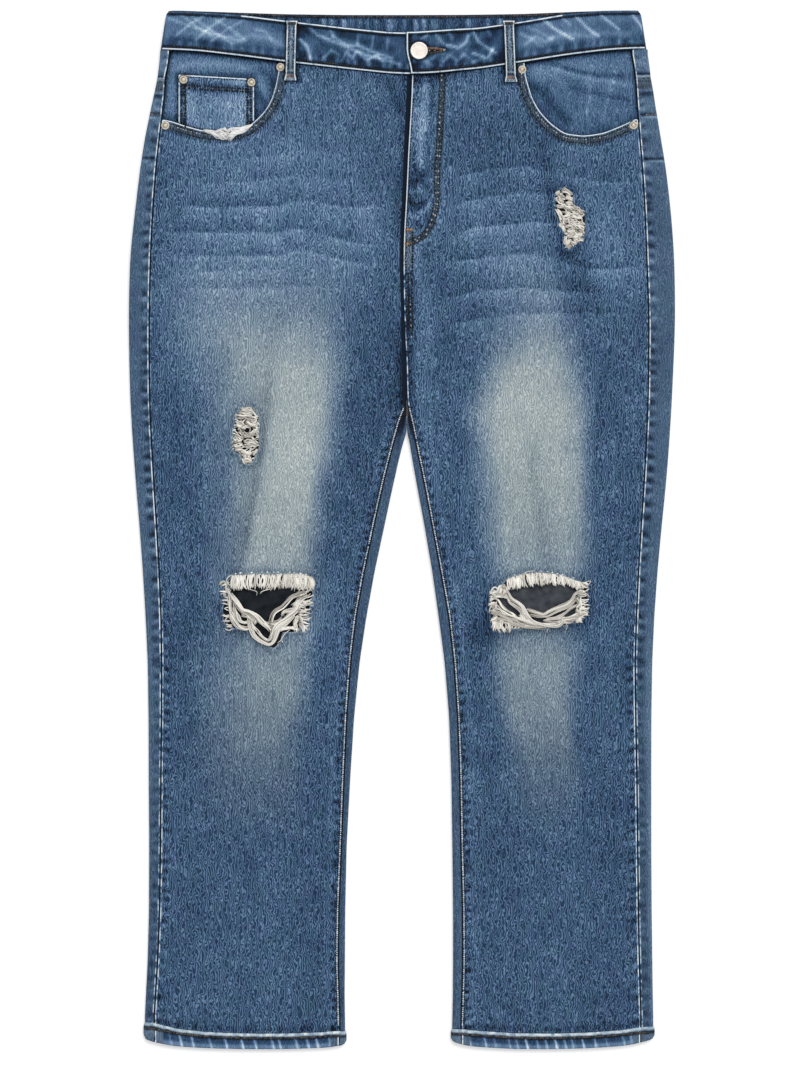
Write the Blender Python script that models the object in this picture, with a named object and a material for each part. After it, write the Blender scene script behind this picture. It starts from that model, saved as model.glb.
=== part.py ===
"""Ripped straight-leg jeans, laid flat on their back with the front up.

Lengths in this file are millimetres, and points become metres in world(). "down" is the distance below
the highest edge of the waistband, x runs from the wearer's right (negative) to the wearer's left, and z
is the height above the surface that the jeans lie on. Every panel is a 1.2 mm cloth wall. The back
panels fold round both sides of each leg and end on top, at the seams, beside the front panels.
"""

import math

import bmesh
import bpy
import numpy as np

RIGHT, LEFT = -1, 1
LENGTH = 1037.0
CLOTH = 1.2
GAP = 0.3
BAND = 2.4  # the waistband and the hems are two plies or more
LOOP_CLOTH = 1.5
LOOP_WIDTH = 12.0
CROTCH = 394.0  # where the two inseams and the rise seam meet
FORK = 405.0  # the first row where the back panels fold round the inner legs
FLY_END = 222.0
ZIP_TOP = 70.0
ZIP_LENGTH = 150.0
ZIP_INSET = 4.0  # from the rise seam to the zip's near edge
ZIP_WIDTH = 20.0
HEM_DEPTH_LEVEL = 4.6  # mid height of a hem's upper layer
STRAIGHT_FROM = 250.0  # rows lie level below this, and slant towards the waist above it
LEVEL_UNTIL = 950.0  # rows lie level above this, and follow the hem below it

# Heights of the middle of each layer. The seat lies on its back pockets, so the hips are higher.
SEAT_LIFT = 1.5
BACK_MID = CLOTH / 2
FRONT_MID_LEG = 2.1
FRONT_MID_HIP = 5.1
FOLD_RADIUS_LEG = 2.6
FOLD_RADIUS_HIP = 2.9
OUTSEAM_RISE = 0.9
INSEAM_RISE = 1.5
SEAM_RISE_WIDTH = 22.0
BAND_BACK_MID = SEAT_LIFT + BAND / 2
BAND_FRONT_MID = 6.3
LAP_LIFT = BAND + GAP
FLY_LIFT = 1.8

ROWS = (
    45, 72, 100, 130, 160, 190, 206, 222, 238, 254, 280, 305, 327, 350, 380, 394, 405, 422,
    445, 475, 515, 560, 605, 650, 705, 765, 835, 900, 950, 985, 1018,
)
SEAT_ROWS = ROWS[1:]
ACROSS = (0.0, 0.04, 0.12, 0.3, 0.5, 0.7, 0.88, 0.96, 1.0)
UNDER = (0.25, 0.5, 0.75)
TURNS = [math.radians(angle) for angle in (90, 45, 0, -45, -90)]

# Outer edge of the folded leg and the outseam on top of it.
OUTER_COLUMNS = ("down", "fold", "outseam")
RIGHT_OUTER = (
    (40, -241, -231.3),
    (69, -244, -235.1),
    (109, -253, -239.7),
    (149, -260, -244.6),
    (189, -265, -247.8),
    (249, -271.2, -250.9),
    (300, -272.5, -252.0),
    (389, -271.2, -252.0),
    (469, -266, -248.0),
    (529, -261, -244.3),
    (589, -257, -241.2),
    (649, -254, -240.1),
    (749, -253, -240.7),
    (949, -254, -244.0),
    (1009, -257, -247.5),
    (1037, -258, -248.5),
)
LEFT_OUTER = (
    (40, 244.5, 228.5),
    (69, 249, 233.2),
    (109, 255, 235.5),
    (149, 262, 239.2),
    (189, 267, 241.8),
    (249, 271.6, 244.2),
    (300, 272.5, 246.0),
    (389, 269.5, 245.7),
    (469, 264, 242.0),
    (529, 258, 238.0),
    (589, 253, 234.8),
    (649, 250, 232.9),
    (749, 249, 234.4),
    (949, 250, 237.0),
    (1009, 251, 238.5),
    (1037, 252, 239.5),
)
# The inseam on top and the inner edge of the folded leg, from the crotch down.
INNER_COLUMNS = ("down", "inseam", "fold")
RIGHT_INNER = (
    (394, 4.8, 4.85),
    (405, -1.0, 4.85),
    (419, -5.0, 4.4),
    (437, -10.0, -0.3),
    (475, -19.5, -9.0),
    (529, -31.3, -20.5),
    (569, -39.6, -29.0),
    (609, -46.7, -36.0),
    (669, -53.1, -44.5),
    (749, -57.4, -50.5),
    (829, -60.6, -55.0),
    (949, -64.0, -57.0),
    (1009, -62.3, -57.0),
    (1037, -62.0, -56.0),
)
LEFT_INNER = (
    (394, 5.2, 5.15),
    (405, 8.5, 5.15),
    (419, 11.5, 5.6),
    (437, 15.0, 8.3),
    (475, 23.0, 15.0),
    (529, 33.0, 25.0),
    (569, 40.5, 31.5),
    (609, 47.5, 37.0),
    (669, 53.6, 44.5),
    (749, 57.5, 48.7),
    (829, 59.0, 50.2),
    (949, 61.0, 51.0),
    (1009, 59.2, 50.3),
    (1037, 58.7, 49.5),
)
# The lapped edge of the fly, which runs on as the rise seam down to the crotch.
RISE_COLUMNS = ("down", "x")
RISE = (
    (60, 9.8),
    (99, 8.3),
    (129, 6.3),
    (159, 4.8),
    (189, 3.6),
    (219, 1.7),
    (249, 1.0),
    (319, 2.5),
    (359, 4.5),
    (394, 5.0),
)
UNDERLAP = 8.0  # how far the right front runs on under the fly's lap
WAIST_COLUMNS = ("x", "front_top", "front_seam", "back_top", "back_seam")
WAIST = (
    (-241, 1.2, 40.2, 1.2, 40.2),
    (-222, 1.8, 40.9, 0.0, 40.5),
    (-198, 2.8, 42.3, 1.4, 41.0),
    (-163, 4.9, 46.5, 3.6, 42.6),
    (-128, 9.3, 51.0, 4.4, 43.6),
    (-100, 12.5, 54.7, 5.0, 44.4),
    (-50, 18.3, 60.2, 5.5, 45.2),
    (0, 22.6, 64.9, 5.5, 45.5),
    (36, 20.6, 64.0, 5.5, 45.4),
    (74, 18.0, 59.8, 5.2, 45.0),
    (101, 13.9, 56.0, 4.8, 44.4),
    (132, 9.6, 51.0, 4.2, 43.6),
    (151, 5.8, 48.0, 3.6, 43.0),
    (189, 2.0, 42.6, 1.6, 41.4),
    (220, 1.2, 40.0, 0.0, 40.2),
    (244, 1.0, 39.2, 1.0, 39.2),
)
BAND_LEAN = 6.0  # the waistband's side folds lean out by this much from top to bottom
BUTTON_LAP = 43.0  # x of the band's end under the lap
LAP_END = 4.0  # x of the band's end on top of it
# The yoke seam: level round the hip, and a V across the seat.
YOKE_SIDE = 68.0
YOKE_CENTRE = 128.0
HEM_MID_BOTTOM = 1034.0
HEM_COLUMNS = ("x", "top", "bottom")
RIGHT_HEM = (
    (-260, 1010.0, 1028.0),
    (-252, 1011.0, 1030.5),
    (-228, 1016.0, 1034.0),
    (-190, 1020.0, 1036.2),
    (-142, 1021.3, 1037.0),
    (-92, 1020.5, 1036.0),
    (-62, 1018.5, 1033.0),
    (-54, 1018.0, 1029.0),
)
LEFT_HEM = (
    (47, 1016.0, 1027.5),
    (58, 1016.8, 1032.0),
    (88, 1019.5, 1035.5),
    (158, 1021.2, 1036.8),
    (218, 1018.0, 1034.0),
    (240, 1015.8, 1031.5),
    (254, 1015.0, 1028.0),
)

# Outlines as (x, down). Pocket mouths run from the waist seam round to the outseam.
RIGHT_MOUTH = (
    (-123, 48), (-125, 72), (-130, 89), (-136, 100), (-144.4, 109), (-153.6, 116.6),
    (-168.4, 122), (-198, 120.7), (-216.5, 115.7), (-231.3, 110.5),
)
LEFT_MOUTH = (
    (122, 50), (123.5, 66), (126, 75), (130, 88.5), (137.7, 102), (149, 114), (162.5, 123.5),
    (181.7, 125.8), (200.8, 123), (218, 116), (229, 111),
)
FACING_REACH = 11.0  # how far a facing runs on under the front panel
FACING_SEAM_ROWS = (118, 90, 60)  # where it follows the outseam
KNEE_RIGHT = (
    (-167, 564), (-100, 564), (-90, 568), (-88.5, 576), (-92.5, 597), (-98, 611), (-106, 621),
    (-119, 621), (-122, 631), (-128, 637), (-135, 634), (-151, 618), (-168, 617), (-177, 612),
    (-179, 598), (-172, 580), (-173, 570),
)
KNEE_RIGHT_OPEN = (
    (-169, 579), (-160, 577), (-127, 577.5), (-103, 577.5), (-110, 586), (-127, 596),
    (-133, 605), (-140, 605), (-148, 599), (-159, 592),
)
KNEE_LEFT = (
    (106, 568), (115, 565), (128, 562.5), (143, 563), (158, 565.5), (170, 569), (182, 573),
    (185, 580), (185.5, 600), (181, 607), (173, 611), (158, 615), (143, 617), (113, 617),
    (103, 619), (93, 620), (89, 607), (88.5, 594), (93, 581),
)
KNEE_LEFT_OPEN = (
    (106, 580), (114, 577), (128, 575), (143, 574), (160, 573.5), (175, 579), (170, 588),
    (158, 593), (143, 600), (133, 600), (123, 593), (113, 588),
)
THIGH_RIGHT = (
    (-160, 397), (-149, 397), (-144, 408), (-143, 436), (-145, 441), (-149, 450), (-153, 453.5),
    (-157, 453), (-161, 444), (-168, 440), (-168, 425), (-166, 412),
)
HIP_LEFT = (
    (160, 178), (170, 183), (171, 195), (182, 202), (183, 219), (180, 229), (174, 234),
    (167, 239.5), (162, 238), (163, 226), (157, 214), (153, 199), (152.5, 185),
)
RIPS = {RIGHT: (KNEE_RIGHT, THIGH_RIGHT), LEFT: (KNEE_LEFT, HIP_LEFT)}
YARN_RELIEF = 0.9  # how far frayed threads stand above the cloth
COIN_POCKET_SIDES = (-223.5, -147.0)
COIN_POCKET_TOP = (64.0, 68.5)
BACK_POCKET = ((-76, 139), (76, 139), (70, 276), (0, 296), (-70, 276))
BACK_POCKET_X = 128.0

BUTTON_AT = (17.0, 42.0)
BUTTON_PROFILE = ((0, 0), (7.6, 0), (8.6, 0.7), (8.7, 1.7), (7.9, 2.6), (6.4, 2.9), (0, 3.1))
RIVET_RADIUS = 4.5
RIVET_PROFILE = ((0, 0), (4.4, 0), (RIVET_RADIUS, 0.5), (3.7, 1.1), (1.7, 1.3), (1.4, 1.9), (0, 2.1))
RIVETS = {
    "rivet_pocket_right_inner": (-121.3, 57.4),
    "rivet_pocket_right_outer": (-236.0, 115.7),
    "rivet_coin_outer": (-218.0, 70.0),
    "rivet_coin_inner": (-150.3, 72.6),
    "rivet_pocket_left_inner": (119.9, 59.8),
    "rivet_pocket_left_outer": (230.8, 115.6),
}
FRONT_LOOPS = {"belt_loop_front_right": (-109.5, 11.0), "belt_loop_front_left": (107.5, 11.0)}
BACK_LOOPS = {"belt_loop_back_right": -135.0, "belt_loop_back_centre": 0.0, "belt_loop_back_left": 135.0}
LOOP_INSET = 1.5  # a back loop's top lies this far below the waistband's
BACK_LOOP_END = 60.0


def step(low, high, value):
    """Smooth change from 0 at low to 1 at high."""
    t = min(max((value - low) / (high - low), 0.0), 1.0)
    return t * t * (3 - 2 * t)


def column(table, names, name):
    """A smooth curve through one named column of a table, as a function of its first column."""
    rows = np.array(table, float)
    at, values = rows[:, 0], rows[:, names.index(name)]
    slopes = np.gradient(values, at)

    def read(where):
        k = int(np.clip(np.searchsorted(at, where) - 1, 0, len(at) - 2))
        span = at[k + 1] - at[k]
        t = min(max((where - at[k]) / span, 0.0), 1.0)
        ease = t * t * (3 - 2 * t)
        start, end = slopes[k] * span, slopes[k + 1] * span
        bend = start * t * (1 - t) ** 2 - end * t * t * (1 - t)
        return float(values[k] * (1 - ease) + values[k + 1] * ease + bend)

    return read


OUTER_FOLD = {
    RIGHT: column(RIGHT_OUTER, OUTER_COLUMNS, "fold"),
    LEFT: column(LEFT_OUTER, OUTER_COLUMNS, "fold"),
}
OUTSEAM = {
    RIGHT: column(RIGHT_OUTER, OUTER_COLUMNS, "outseam"),
    LEFT: column(LEFT_OUTER, OUTER_COLUMNS, "outseam"),
}
INSEAM = {
    RIGHT: column(RIGHT_INNER, INNER_COLUMNS, "inseam"),
    LEFT: column(LEFT_INNER, INNER_COLUMNS, "inseam"),
}
INNER_FOLD = {
    RIGHT: column(RIGHT_INNER, INNER_COLUMNS, "fold"),
    LEFT: column(LEFT_INNER, INNER_COLUMNS, "fold"),
}
HEM_TOP = {RIGHT: column(RIGHT_HEM, HEM_COLUMNS, "top"), LEFT: column(LEFT_HEM, HEM_COLUMNS, "top")}
HEM_BOTTOM = {
    RIGHT: column(RIGHT_HEM, HEM_COLUMNS, "bottom"),
    LEFT: column(LEFT_HEM, HEM_COLUMNS, "bottom"),
}
RISE_SEAM = column(RISE, RISE_COLUMNS, "x")
WAIST_AT = {name: column(WAIST, WAIST_COLUMNS, name) for name in WAIST_COLUMNS[1:]}
MOUTH = {RIGHT: RIGHT_MOUTH, LEFT: LEFT_MOUTH}
SIDE_NAMES = {RIGHT: "right", LEFT: "left"}


# ---- heights and edges of the folded garment


def hips(down):
    return 1 - step(305, 350, down)


def at_hem(down):
    return step(905, 1005, down)


def seat_lift(down):
    return SEAT_LIFT * hips(down)


def fold_radius(down):
    return FOLD_RADIUS_LEG + (FOLD_RADIUS_HIP - FOLD_RADIUS_LEG) * hips(down)


def front_base(down):
    low = FRONT_MID_LEG + (FRONT_MID_HIP - FRONT_MID_LEG) * hips(down)
    return low + (HEM_DEPTH_LEVEL - low) * at_hem(down)


def seam_rise(rise, down, distance):
    """How far a front panel climbs towards a seam's plies, at a distance from that seam."""
    return rise * (1 - at_hem(down)) * (1 - step(0, SEAM_RISE_WIDTH, distance))


def centre_back(down):
    return 5.0 * step(40, 420, down)


def front_inner_edge(side, down):
    if down >= CROTCH:
        return INSEAM[side](down) + side * GAP / 2
    edge = RISE_SEAM(down) + side * GAP / 2
    if side == RIGHT:
        edge += UNDERLAP * (1 - step(FLY_END - 22, FLY_END, down))
    return edge


def front_mid(side, x, down):
    """Mid height of a front panel at a point."""
    outer = abs(x - OUTSEAM[side](down))
    inner = abs(x - front_inner_edge(side, down))
    rise = INSEAM_RISE * step(FLY_END + 4, FLY_END + 60, down)
    height = front_base(down) + seam_rise(OUTSEAM_RISE, down, outer) + seam_rise(rise, down, inner)
    if side == LEFT:
        height += FLY_LIFT * (1 - step(FLY_END + 8, FLY_END + 40, down)) * (1 - step(14, 40, inner))
    return height


def front_x(side, across, down):
    outer = OUTSEAM[side](down) - side * GAP / 2
    return outer + (front_inner_edge(side, down) - outer) * across


def warp(row, top, bottom):
    """The distance down of a point whose column starts at top and ends at bottom."""
    if row < STRAIGHT_FROM:
        return top + (row - ROWS[0]) / (STRAIGHT_FROM - ROWS[0]) * (STRAIGHT_FROM - top)
    if row > LEVEL_UNTIL:
        return LEVEL_UNTIL + (row - LEVEL_UNTIL) / (ROWS[-1] - LEVEL_UNTIL) * (bottom - LEVEL_UNTIL)
    return row


def front_waist(side, across):
    """(x, down) where a column of the front panel meets the waistband."""
    x, down = 0.0, 45.0
    for _ in range(4):
        x = front_x(side, across, down)
        down = WAIST_AT["front_seam"](x) + GAP
    return x, down


def front_point(side, across, row):
    top = front_waist(side, across)[1]
    bottom = HEM_TOP[side](front_x(side, across, ROWS[-1])) - GAP
    down = warp(row, top, bottom)
    x = front_x(side, across, down)
    return x, down, front_mid(side, x, down)


def wrap_section(side, down, forked):
    """Mid points (x, z) of the back panel round one leg: from the outseam, over the outer fold, along
    the underside, and either to the centre back seam or round the inner fold to the inseam."""
    radius = fold_radius(down)
    lift = seat_lift(down)
    bend = radius - CLOTH / 2
    outer_seam = OUTSEAM[side](down)
    outer_centre = OUTER_FOLD[side](down) - side * radius
    seam_z = front_mid(side, outer_seam, down)
    fold_z = lift + 2 * radius - CLOTH / 2
    fold_z += (HEM_DEPTH_LEVEL - fold_z) * at_hem(down)
    points = [
        (outer_seam + side * GAP / 2, seam_z),
        ((outer_seam + outer_centre) / 2, (seam_z + fold_z) / 2),
    ]
    points += [
        (outer_centre + side * bend * math.cos(turn), lift + radius + bend * math.sin(turn))
        for turn in TURNS
    ]
    if forked:
        inner_centre = INNER_FOLD[side](down) + side * radius
    else:
        inner_centre = centre_back(down) + side * GAP / 2
    points += [
        (outer_centre + (inner_centre - outer_centre) * part, lift + BACK_MID) for part in UNDER
    ]
    if not forked:
        return points + [(inner_centre, lift + BACK_MID)]
    points += [
        (inner_centre - side * bend * math.cos(turn), lift + radius + bend * math.sin(turn))
        for turn in reversed(TURNS)
    ]
    inner_seam = INSEAM[side](down)
    points.append((inner_seam - side * GAP / 2, front_mid(side, inner_seam, down)))
    return points


WRAP_COLUMNS = len(wrap_section(RIGHT, 600.0, True))
SEAT_COLUMNS = len(wrap_section(RIGHT, 200.0, False))
STRIP_COLUMNS = 2
FOLD_COLUMNS = 5


def wrap_share(index):
    """How far a column of the back panel lies from the hip towards the centre back, 0 to 1."""
    return min(max((index - STRIP_COLUMNS - FOLD_COLUMNS + 1) / (len(UNDER) + 1), 0.0), 1.0)


def yoke_seam(index):
    return YOKE_SIDE + (YOKE_CENTRE - YOKE_SIDE) * wrap_share(index)


def wrap_waist(side, index):
    """(x, down) where a column of the yoke meets the waistband."""
    x, down = 0.0, 45.0
    seam = "front_seam" if index < STRIP_COLUMNS + 1 else "back_seam"
    for _ in range(4):
        x = wrap_section(side, down, False)[index][0]
        down = WAIST_AT[seam](x) + GAP
    return x, down


def wrap_point(side, index, down):
    forked = down >= FORK
    points = wrap_section(side, down, forked)
    x, z = points[min(index, len(points) - 1)]
    return x, down, z


# ---- mesh helpers


def world(x, down, z):
    return (x / 1000, (LENGTH / 2 - down) / 1000, z / 1000)


def plain(name, colour, roughness=0.85, metallic=0.0):
    material = bpy.data.materials.new(name)
    material.use_nodes = True
    shader = material.node_tree.nodes["Principled BSDF"]
    shader.inputs["Base Color"].default_value = (*colour, 1)
    shader.inputs["Roughness"].default_value = roughness
    shader.inputs["Metallic"].default_value = metallic
    return material


def add_object(name, bm, material):
    mesh = bpy.data.meshes.new(name)
    bm.to_mesh(mesh)
    bm.free()
    obj = bpy.data.objects.new(name, mesh)
    bpy.context.scene.collection.objects.link(obj)
    if material:
        mesh.materials.append(material)
    return obj


def give_thickness(obj, thickness):
    solidify = obj.modifiers.new("wall", "SOLIDIFY")
    solidify.thickness = thickness / 1000
    solidify.offset = 0.0
    solidify.use_even_offset = True


def cloth_sheet(name, rows, columns, place, thickness, material, present=None):
    """A grid whose points are given by place(row, column), with a wall thickness. present(row, column)
    says which of its faces are kept. Columns that end where they began close into a ring."""
    bm = bmesh.new()
    bmesh.ops.create_grid(bm, x_segments=columns - 1, y_segments=rows - 1, size=1)
    spots = {
        vertex: (
            round((vertex.co.y + 1) / 2 * (rows - 1)),
            round((vertex.co.x + 1) / 2 * (columns - 1)),
        )
        for vertex in bm.verts
    }
    if present:
        absent = [
            face
            for face in bm.faces
            if not present(
                min(spots[vertex][0] for vertex in face.verts),
                min(spots[vertex][1] for vertex in face.verts),
            )
        ]
        bmesh.ops.delete(bm, geom=absent, context="FACES")
    for vertex in bm.verts:
        vertex.co = world(*place(*spots[vertex]))
    bmesh.ops.remove_doubles(bm, verts=bm.verts[:], dist=1e-6)
    bmesh.ops.recalc_face_normals(bm, faces=bm.faces[:])
    obj = add_object(name, bm, material)
    give_thickness(obj, thickness)
    return obj


def plate(name, outline, low, high, material):
    """A flat piece between two heights."""
    bm = bmesh.new()
    face = bm.faces.new([bm.verts.new(world(x, down, low)) for x, down in outline])
    grown = bmesh.ops.extrude_face_region(bm, geom=[face])["geom"]
    raised = [item for item in grown if isinstance(item, bmesh.types.BMVert)]
    bmesh.ops.translate(bm, verts=raised, vec=(0, 0, (high - low) / 1000))
    bmesh.ops.recalc_face_normals(bm, faces=bm.faces[:])
    return add_object(name, bm, material)


def turned(name, profile, at, height, segments, material):
    """A round piece turned from a profile of (radius, height) points."""
    bm = bmesh.new()
    verts = [bm.verts.new((radius / 1000, 0, level / 1000)) for radius, level in profile]
    edges = [bm.edges.new(pair) for pair in zip(verts, verts[1:])]
    bmesh.ops.spin(
        bm, geom=verts + edges, cent=(0, 0, 0), axis=(0, 0, 1), angle=math.tau, steps=segments,
        use_merge=True,
    )
    bmesh.ops.remove_doubles(bm, verts=bm.verts[:], dist=1e-5)
    bmesh.ops.recalc_face_normals(bm, faces=bm.faces[:])
    obj = add_object(name, bm, material)
    obj.data.shade_smooth()
    obj.location = world(*at, height)
    return obj


def cut(obj, outline):
    """Cuts an outline right through a piece."""
    cutter = plate(obj.name + "_cutter", outline, -20, 60, None)
    cutter.hide_render = True
    cutter.display_type = "WIRE"
    boolean = obj.modifiers.new("cut", "BOOLEAN")
    boolean.operation = "DIFFERENCE"
    boolean.solver = "EXACT"
    boolean.object = cutter


def moved_in(outline, distance):
    """The outline drawn in by a distance, or out where it is negative."""
    points = np.array(outline, float)
    before, after = np.roll(points, 1, axis=0), np.roll(points, -1, axis=0)
    area = np.sum(points[:, 0] * after[:, 1] - after[:, 0] * points[:, 1])
    turn = np.sign(area)

    def inward(start, end):
        edge = end - start
        edge /= np.linalg.norm(edge, axis=1)[:, None]
        return np.stack([-edge[:, 1], edge[:, 0]], axis=1) * turn

    first, second = inward(before, points), inward(points, after)
    mid = first + second
    mid /= np.linalg.norm(mid, axis=1)[:, None]
    reach = distance / np.maximum(np.sum(mid * first, axis=1), 0.5)
    return [tuple(point) for point in points + mid * reach[:, None]]


# ---- the pieces


def front_leg(side, cloth):
    """The front panel of one leg, with its pocket mouth, knee rip and other rip cut through."""

    def place(row, index):
        return front_point(side, ACROSS[index], ROWS[row])

    name = "front_leg_" + SIDE_NAMES[side]
    panel = cloth_sheet(name, len(ROWS), len(ACROSS), place, CLOTH, cloth)
    mouth = MOUTH[side]
    beyond = side * 290
    cut(panel, [*mouth, (beyond, mouth[-1][1] + 1), (beyond, 20), (mouth[0][0], 20)])
    for outline in RIPS[side]:
        cut(panel, outline)


def back_leg(side, cloth):
    """The back panel of one leg, folded round to the seams on top."""
    fork_row = SEAT_ROWS.index(int(FORK))

    def place(row, index):
        station = SEAT_ROWS[row]
        top = yoke_seam(index) + GAP / 2
        if station < STRAIGHT_FROM:
            share = (station - SEAT_ROWS[0]) / (STRAIGHT_FROM - SEAT_ROWS[0])
            return wrap_point(side, index, top + share * (STRAIGHT_FROM - top))
        x = wrap_section(side, 1016.0, True)[index][0]
        return wrap_point(side, index, warp(station, top, HEM_TOP[side](x) - GAP))

    cloth_sheet(
        "back_leg_" + SIDE_NAMES[side], len(SEAT_ROWS), WRAP_COLUMNS, place, CLOTH, cloth,
        present=lambda row, index: row >= fork_row or index < SEAT_COLUMNS - 1,
    )


def yoke(side, cloth):
    """The yoke between waistband and back panel, folded round the hip to the outseam."""

    def place(row, index):
        top, bottom = wrap_waist(side, index)[1], yoke_seam(index) - GAP / 2
        return wrap_point(side, index, top + (bottom - top) * row / 2)

    cloth_sheet("yoke_" + SIDE_NAMES[side], 3, SEAT_COLUMNS, place, CLOTH, cloth)


def waistband(cloth):
    """One strip: from its end under the lap, round the wearer's right, the back and the left, to its
    end on top."""
    bend = (BAND_FRONT_MID - BAND_BACK_MID) / 2
    centre = BAND_BACK_MID + bend
    right = WAIST[0][0] + bend + BAND / 2
    left = WAIST[-1][0] - bend - BAND / 2
    under = range(STRIP_COLUMNS + FOLD_COLUMNS, SEAT_COLUMNS)
    course = [(BUTTON_LAP, BAND_FRONT_MID)]
    course += [(front_waist(RIGHT, across)[0], BAND_FRONT_MID) for across in reversed(ACROSS)]
    course += [(right - bend * math.cos(turn), centre + bend * math.sin(turn)) for turn in TURNS]
    course += [(wrap_waist(RIGHT, index)[0], BAND_BACK_MID) for index in under]
    course += [(wrap_waist(LEFT, index)[0], BAND_BACK_MID) for index in reversed(under[:-1])]
    course += [(left + bend * math.cos(turn), centre - bend * math.sin(turn)) for turn in TURNS]
    for x in [front_waist(LEFT, across)[0] for across in ACROSS] + [LAP_END]:
        course.append((x, BAND_FRONT_MID + LAP_LIFT * (1 - step(48, 80, x))))
    rows = (0.0, 0.5, 1.0)

    def place(row, index):
        x, height = course[index]
        level = "back" if height < centre else "front"
        top, bottom = WAIST_AT[level + "_top"](x), WAIST_AT[level + "_seam"](x)
        down = top + (bottom - top) * rows[row]
        lean = BAND_LEAN * (1 - rows[row]) * step(150, 241, abs(x))
        return x - math.copysign(lean, x), down, height

    cloth_sheet("waistband", len(rows), len(course), place, BAND, cloth)


def hem(side, cloth):
    """The turned hem, a flattened ring of three plies."""
    bend = (HEM_DEPTH_LEVEL - BAND / 2) / 2
    centre = BAND / 2 + bend

    depths = (0.0, 0.5, 1.0)

    def ring(depth):
        nominal = ROWS[-1] + (HEM_MID_BOTTOM - ROWS[-1]) * depth
        outer = OUTER_FOLD[side](nominal) - side * (bend + BAND / 2)
        inner = INNER_FOLD[side](nominal) + side * (bend + BAND / 2)
        points = [(outer + side * bend * math.cos(t), centre + bend * math.sin(t)) for t in TURNS]
        points += [(outer + (inner - outer) * part, BAND / 2) for part in UNDER]
        points += [(inner - side * bend * math.cos(t), centre - bend * math.sin(t)) for t in TURNS]
        points += [(front_x(side, across, nominal), HEM_DEPTH_LEVEL) for across in reversed(ACROSS)]
        return points

    rings = [ring(depth) for depth in depths]

    def place(row, index):
        x, z = rings[row][index % len(rings[row])]
        top, bottom = HEM_TOP[side](x), HEM_BOTTOM[side](x)
        return x, top + (bottom - top) * depths[row], z

    name = "hem_" + SIDE_NAMES[side]
    cloth_sheet(name, len(depths), len(rings[0]) + 1, place, BAND, cloth)


def pocket_facing(side, cloth):
    """The piece behind a pocket mouth, from the waist seam to a little under the front panel."""
    mouth = MOUTH[side]
    beyond = side * 260
    reach = moved_in([*mouth, (beyond, mouth[-1][1]), (beyond, mouth[0][1])], -FACING_REACH)
    curve = reach[1 : len(mouth) - 1]
    waist = [front_waist(side, across) for across in (0.12, 0.3)]
    seam = [(OUTSEAM[side](down) - side * GAP, down) for down in FACING_SEAM_ROWS]
    top_corner = front_waist(side, 0.005)
    inner_top = (curve[0][0], WAIST_AT["front_seam"](curve[0][0]) + GAP)
    outline = [*curve, *seam, top_corner, *waist, inner_top]
    low = FRONT_MID_HIP - CLOTH / 2 - GAP - CLOTH
    plate("pocket_facing_" + SIDE_NAMES[side], outline, low, low + CLOTH, cloth)


def coin_pocket(cloth):
    """The small pocket on the right facing, ending just above the pocket mouth."""
    outer, inner = COIN_POCKET_SIDES
    beyond = -260
    closed = [*RIGHT_MOUTH, (beyond, RIGHT_MOUTH[-1][1]), (beyond, RIGHT_MOUTH[0][1])]
    mouth = np.array(moved_in(closed, 2 * GAP)[: len(RIGHT_MOUTH)])[::-1]
    lower = [(x, float(np.interp(x, mouth[:, 0], mouth[:, 1]))) for x in np.linspace(inner, outer, 8)]
    outline = [(outer, COIN_POCKET_TOP[0]), (inner, COIN_POCKET_TOP[1]), *lower]
    low = FRONT_MID_HIP - CLOTH / 2
    plate("coin_pocket", outline, low, low + CLOTH, cloth)


def back_pocket(side, cloth):
    outline = [(x + side * BACK_POCKET_X, down) for x, down in BACK_POCKET]
    plate("back_pocket_" + SIDE_NAMES[side], outline, 0, CLOTH, cloth)


def front_loop(name, at, cloth):
    """A belt loop that lies over the waistband, its lower end tacked to the front panel."""
    x, top = at
    band = BAND_FRONT_MID + BAND / 2 + GAP + LOOP_CLOTH / 2
    panel = FRONT_MID_HIP + CLOTH / 2 + GAP + LOOP_CLOTH / 2
    seam = WAIST_AT["front_seam"](x)
    course = (
        (top, band + 0.1), (top + 6, band + 0.3), ((top + seam) / 2, band + 0.9), (seam + 1.5, band + 0.3),
        (seam + 6, band - 0.4), (seam + 12, panel + 0.1), (seam + 17.5, panel),
    )

    def place(row, index):
        down, z = course[row]
        return x + (index - 1) * LOOP_WIDTH / 2, down, z

    cloth_sheet(name, len(course), 3, place, LOOP_CLOTH, cloth)


def back_loop(name, x, cloth):
    half = LOOP_WIDTH / 2
    top = WAIST_AT["back_top"](x) + LOOP_INSET
    outline = (
        (x - half, top), (x + half, top), (x + half, BACK_LOOP_END), (x - half, BACK_LOOP_END)
    )
    plate(name, outline, 0, CLOTH, cloth)


def zip_tape(metal):
    """The closed zip under the fly's lap, as one strip."""
    low = SEAT_LIFT + CLOTH + GAP
    stations = [ZIP_TOP + ZIP_LENGTH * part for part in (0.0, 0.5, 1.0)]
    left = [(RISE_SEAM(down) + ZIP_INSET, down) for down in stations]
    right = [(x + ZIP_WIDTH, down) for x, down in reversed(left)]
    plate("zip", left + right, low, low + CLOTH, metal)


def threads(name, outline, opening, yarn):
    """A plain solid of a rip's frayed threads, with the opening that they leave."""
    down = outline[0][1] + 10
    low = front_base(down) - CLOTH / 2
    piece = plate(name, moved_in(outline, GAP), low, low + CLOTH + YARN_RELIEF, yarn)
    if opening:
        cut(piece, opening)


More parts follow.
